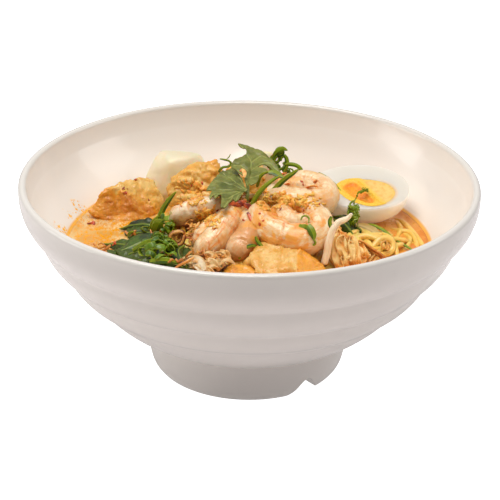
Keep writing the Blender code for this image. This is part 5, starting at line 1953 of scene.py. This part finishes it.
# A few larger pieces of chilli lie on the broth and the tofu by the wall.
LARGER = ((-87.6, 20.6, 73.6, 3.2), (-73, -6.3, 73.6, 1.8), (-70, 36, 86, 1.8), (-71, 40, 87, 1.4))
everything = surface_of(made)
for *centre, size in LARGER:
    chilli += dropped(clump, dice, centre, (0.1, 0.1), 1, (size, size + 0.1), 0.5, everything)


def scatter(name, pieces, finish, light, dark, slot="prawn"):
    finish_piece(joined(pieces, name), crumb_finish(finish, light, dark), slot)


scatter("garlic_crumbs", garlic, "fried_garlic", (252, 194, 84), (244, 156, 46))
scatter("chilli_flakes", chilli, "chilli_flake", (206, 80, 22), (146, 52, 14))

# %% Shallot slices
# Softened in oil, they lie in the hollow of the prawn by the egg.
slices = []
SLICES = [
    ((22, 22, 102), 0.9, 3.4, 1.2), ((27, 21, 102), -0.3, 3.0, 1.5),
    ((30.5, 18, 101.4), 0.5, 3.6, 1.7), ((36, 17.5, 101), 1.2, 3.2, 1.4),
    ((40, 19, 100.6), -0.5, 2.6, 1.1), ((34, 12, 101), 0.1, 3.6, 1.0),
    ((27, 12, 100), -0.5, 3.4, 0.9), ((20, 14, 101), 0.4, 2.8, 0.9),
    ((18, 26, 102), 0.7, 3.4, 0.9), ((38, 8, 100.6), -0.1, 3.6, 0.7),
]
for centre, lean, reach, half in SLICES:
    run = Vector((math.cos(lean), 0.15, math.sin(lean) * 0.8)) * reach
    lift = Vector((-math.sin(lean), 0, math.cos(lean)))
    slices.append(strip([
        (*(Vector(centre) + run * along + lift * bow), half * wide, thick)
        for along, bow, wide, thick in (
            (-1, 0, 0.4, 0.3), (-0.4, 0.7, 1, 0.4), (0.3, 0.9, 1.1, 0.4), (1, 0, 0.5, 0.3))
    ], (0, -0.7, 0.7)))
# One slice has landed on the coriander.
slices.append(strip([
    (-5.4, 14.4, 108.8, 0.4, 0.7), (-4, 13.2, 110.2, 0.5, 1.0), (-2.8, 10, 109.6, 0.5, 1.2),
    (-3.2, 7, 108.2, 0.4, 0.7),
]))
scatter("shallot_slices", slices, "oily_shallot", (250, 196, 112), (226, 122, 34))

# %% Folds in the torn puff
# The puff on the heap is torn: below its fried skin the pale, custardy inside shows.
folds = []
for k in range(15):
    c = Vector((-37 + k * 1.35 + dice.uniform(-0.8, 0.8), 26 - k * 0.6 + dice.uniform(-3, 1),
                87 + k * 0.42 + dice.uniform(-3.4, 2.4)))
    lean = dice.uniform(-1.2, 0.2)
    d = Vector((math.cos(lean), -0.1, math.sin(lean))) * dice.uniform(2.6, 4.6)
    bow = Vector((0.4, -1.2, 0.8)) * dice.uniform(0.4, 1.4)
    folds.append(strip([(*(c - d), 0.8, 0.9), (*(c - d * 0.4 + bow), 1.0, 1.7),
                        (*(c + d * 0.4 + bow), 1.0, 1.8), (*(c + d), 0.8, 0.8)]))
scatter("torn_tofu_folds", folds, "tofu_inside", (232, 190, 104), (224, 156, 66), "tofu")

# %% The prawn's tail shell
# It is red where it was fried, and stands up between the two front prawns.
shell_bits = [
    blade([(-11, -13, 99.6), (-8, -14, 101.4), (-4, -14, 101.8), (0.6, -13, 100)], 1.7),
    blade([(-9, -14.4, 100.6), (-6, -15, 102.2), (-3.4, -14.6, 102)], 1.0),
    blade([(-3, -15, 101.6), (0, -15.4, 100.6), (2, -15, 97), (3, -14, 92)], 1.6),
    blade([(-7.4, -12, 100.2), (-4, -12, 102), (-1, -11, 102)], 0.8),
    blade([(-1, -21, 100), (1.4, -25, 97), (3.6, -28, 93.4), (4.6, -31, 89.6)], 1.1),
    blade([(2.2, -25, 96), (3.4, -28, 92), (3.2, -31, 88), (2.2, -33, 85)], 1.3),
    blade([(-2, -10, 99), (1, -10, 97), (4, -10, 94)], 1.4),
]
scatter("prawn_tail_shell", shell_bits, "fried_shell", (214, 96, 40), (120, 36, 14))

# %% [markdown]
# ## Clearing up
# The blanks that pieces were copied from are removed, and the triangles are counted.

# %% Remove the blanks and count the triangles
for blank in blanks:
    bpy.data.objects.remove(blank, do_unlink=True)
total = sum(triangles(piece) for piece in made)
print("pieces:", len(made), "triangles:", total)
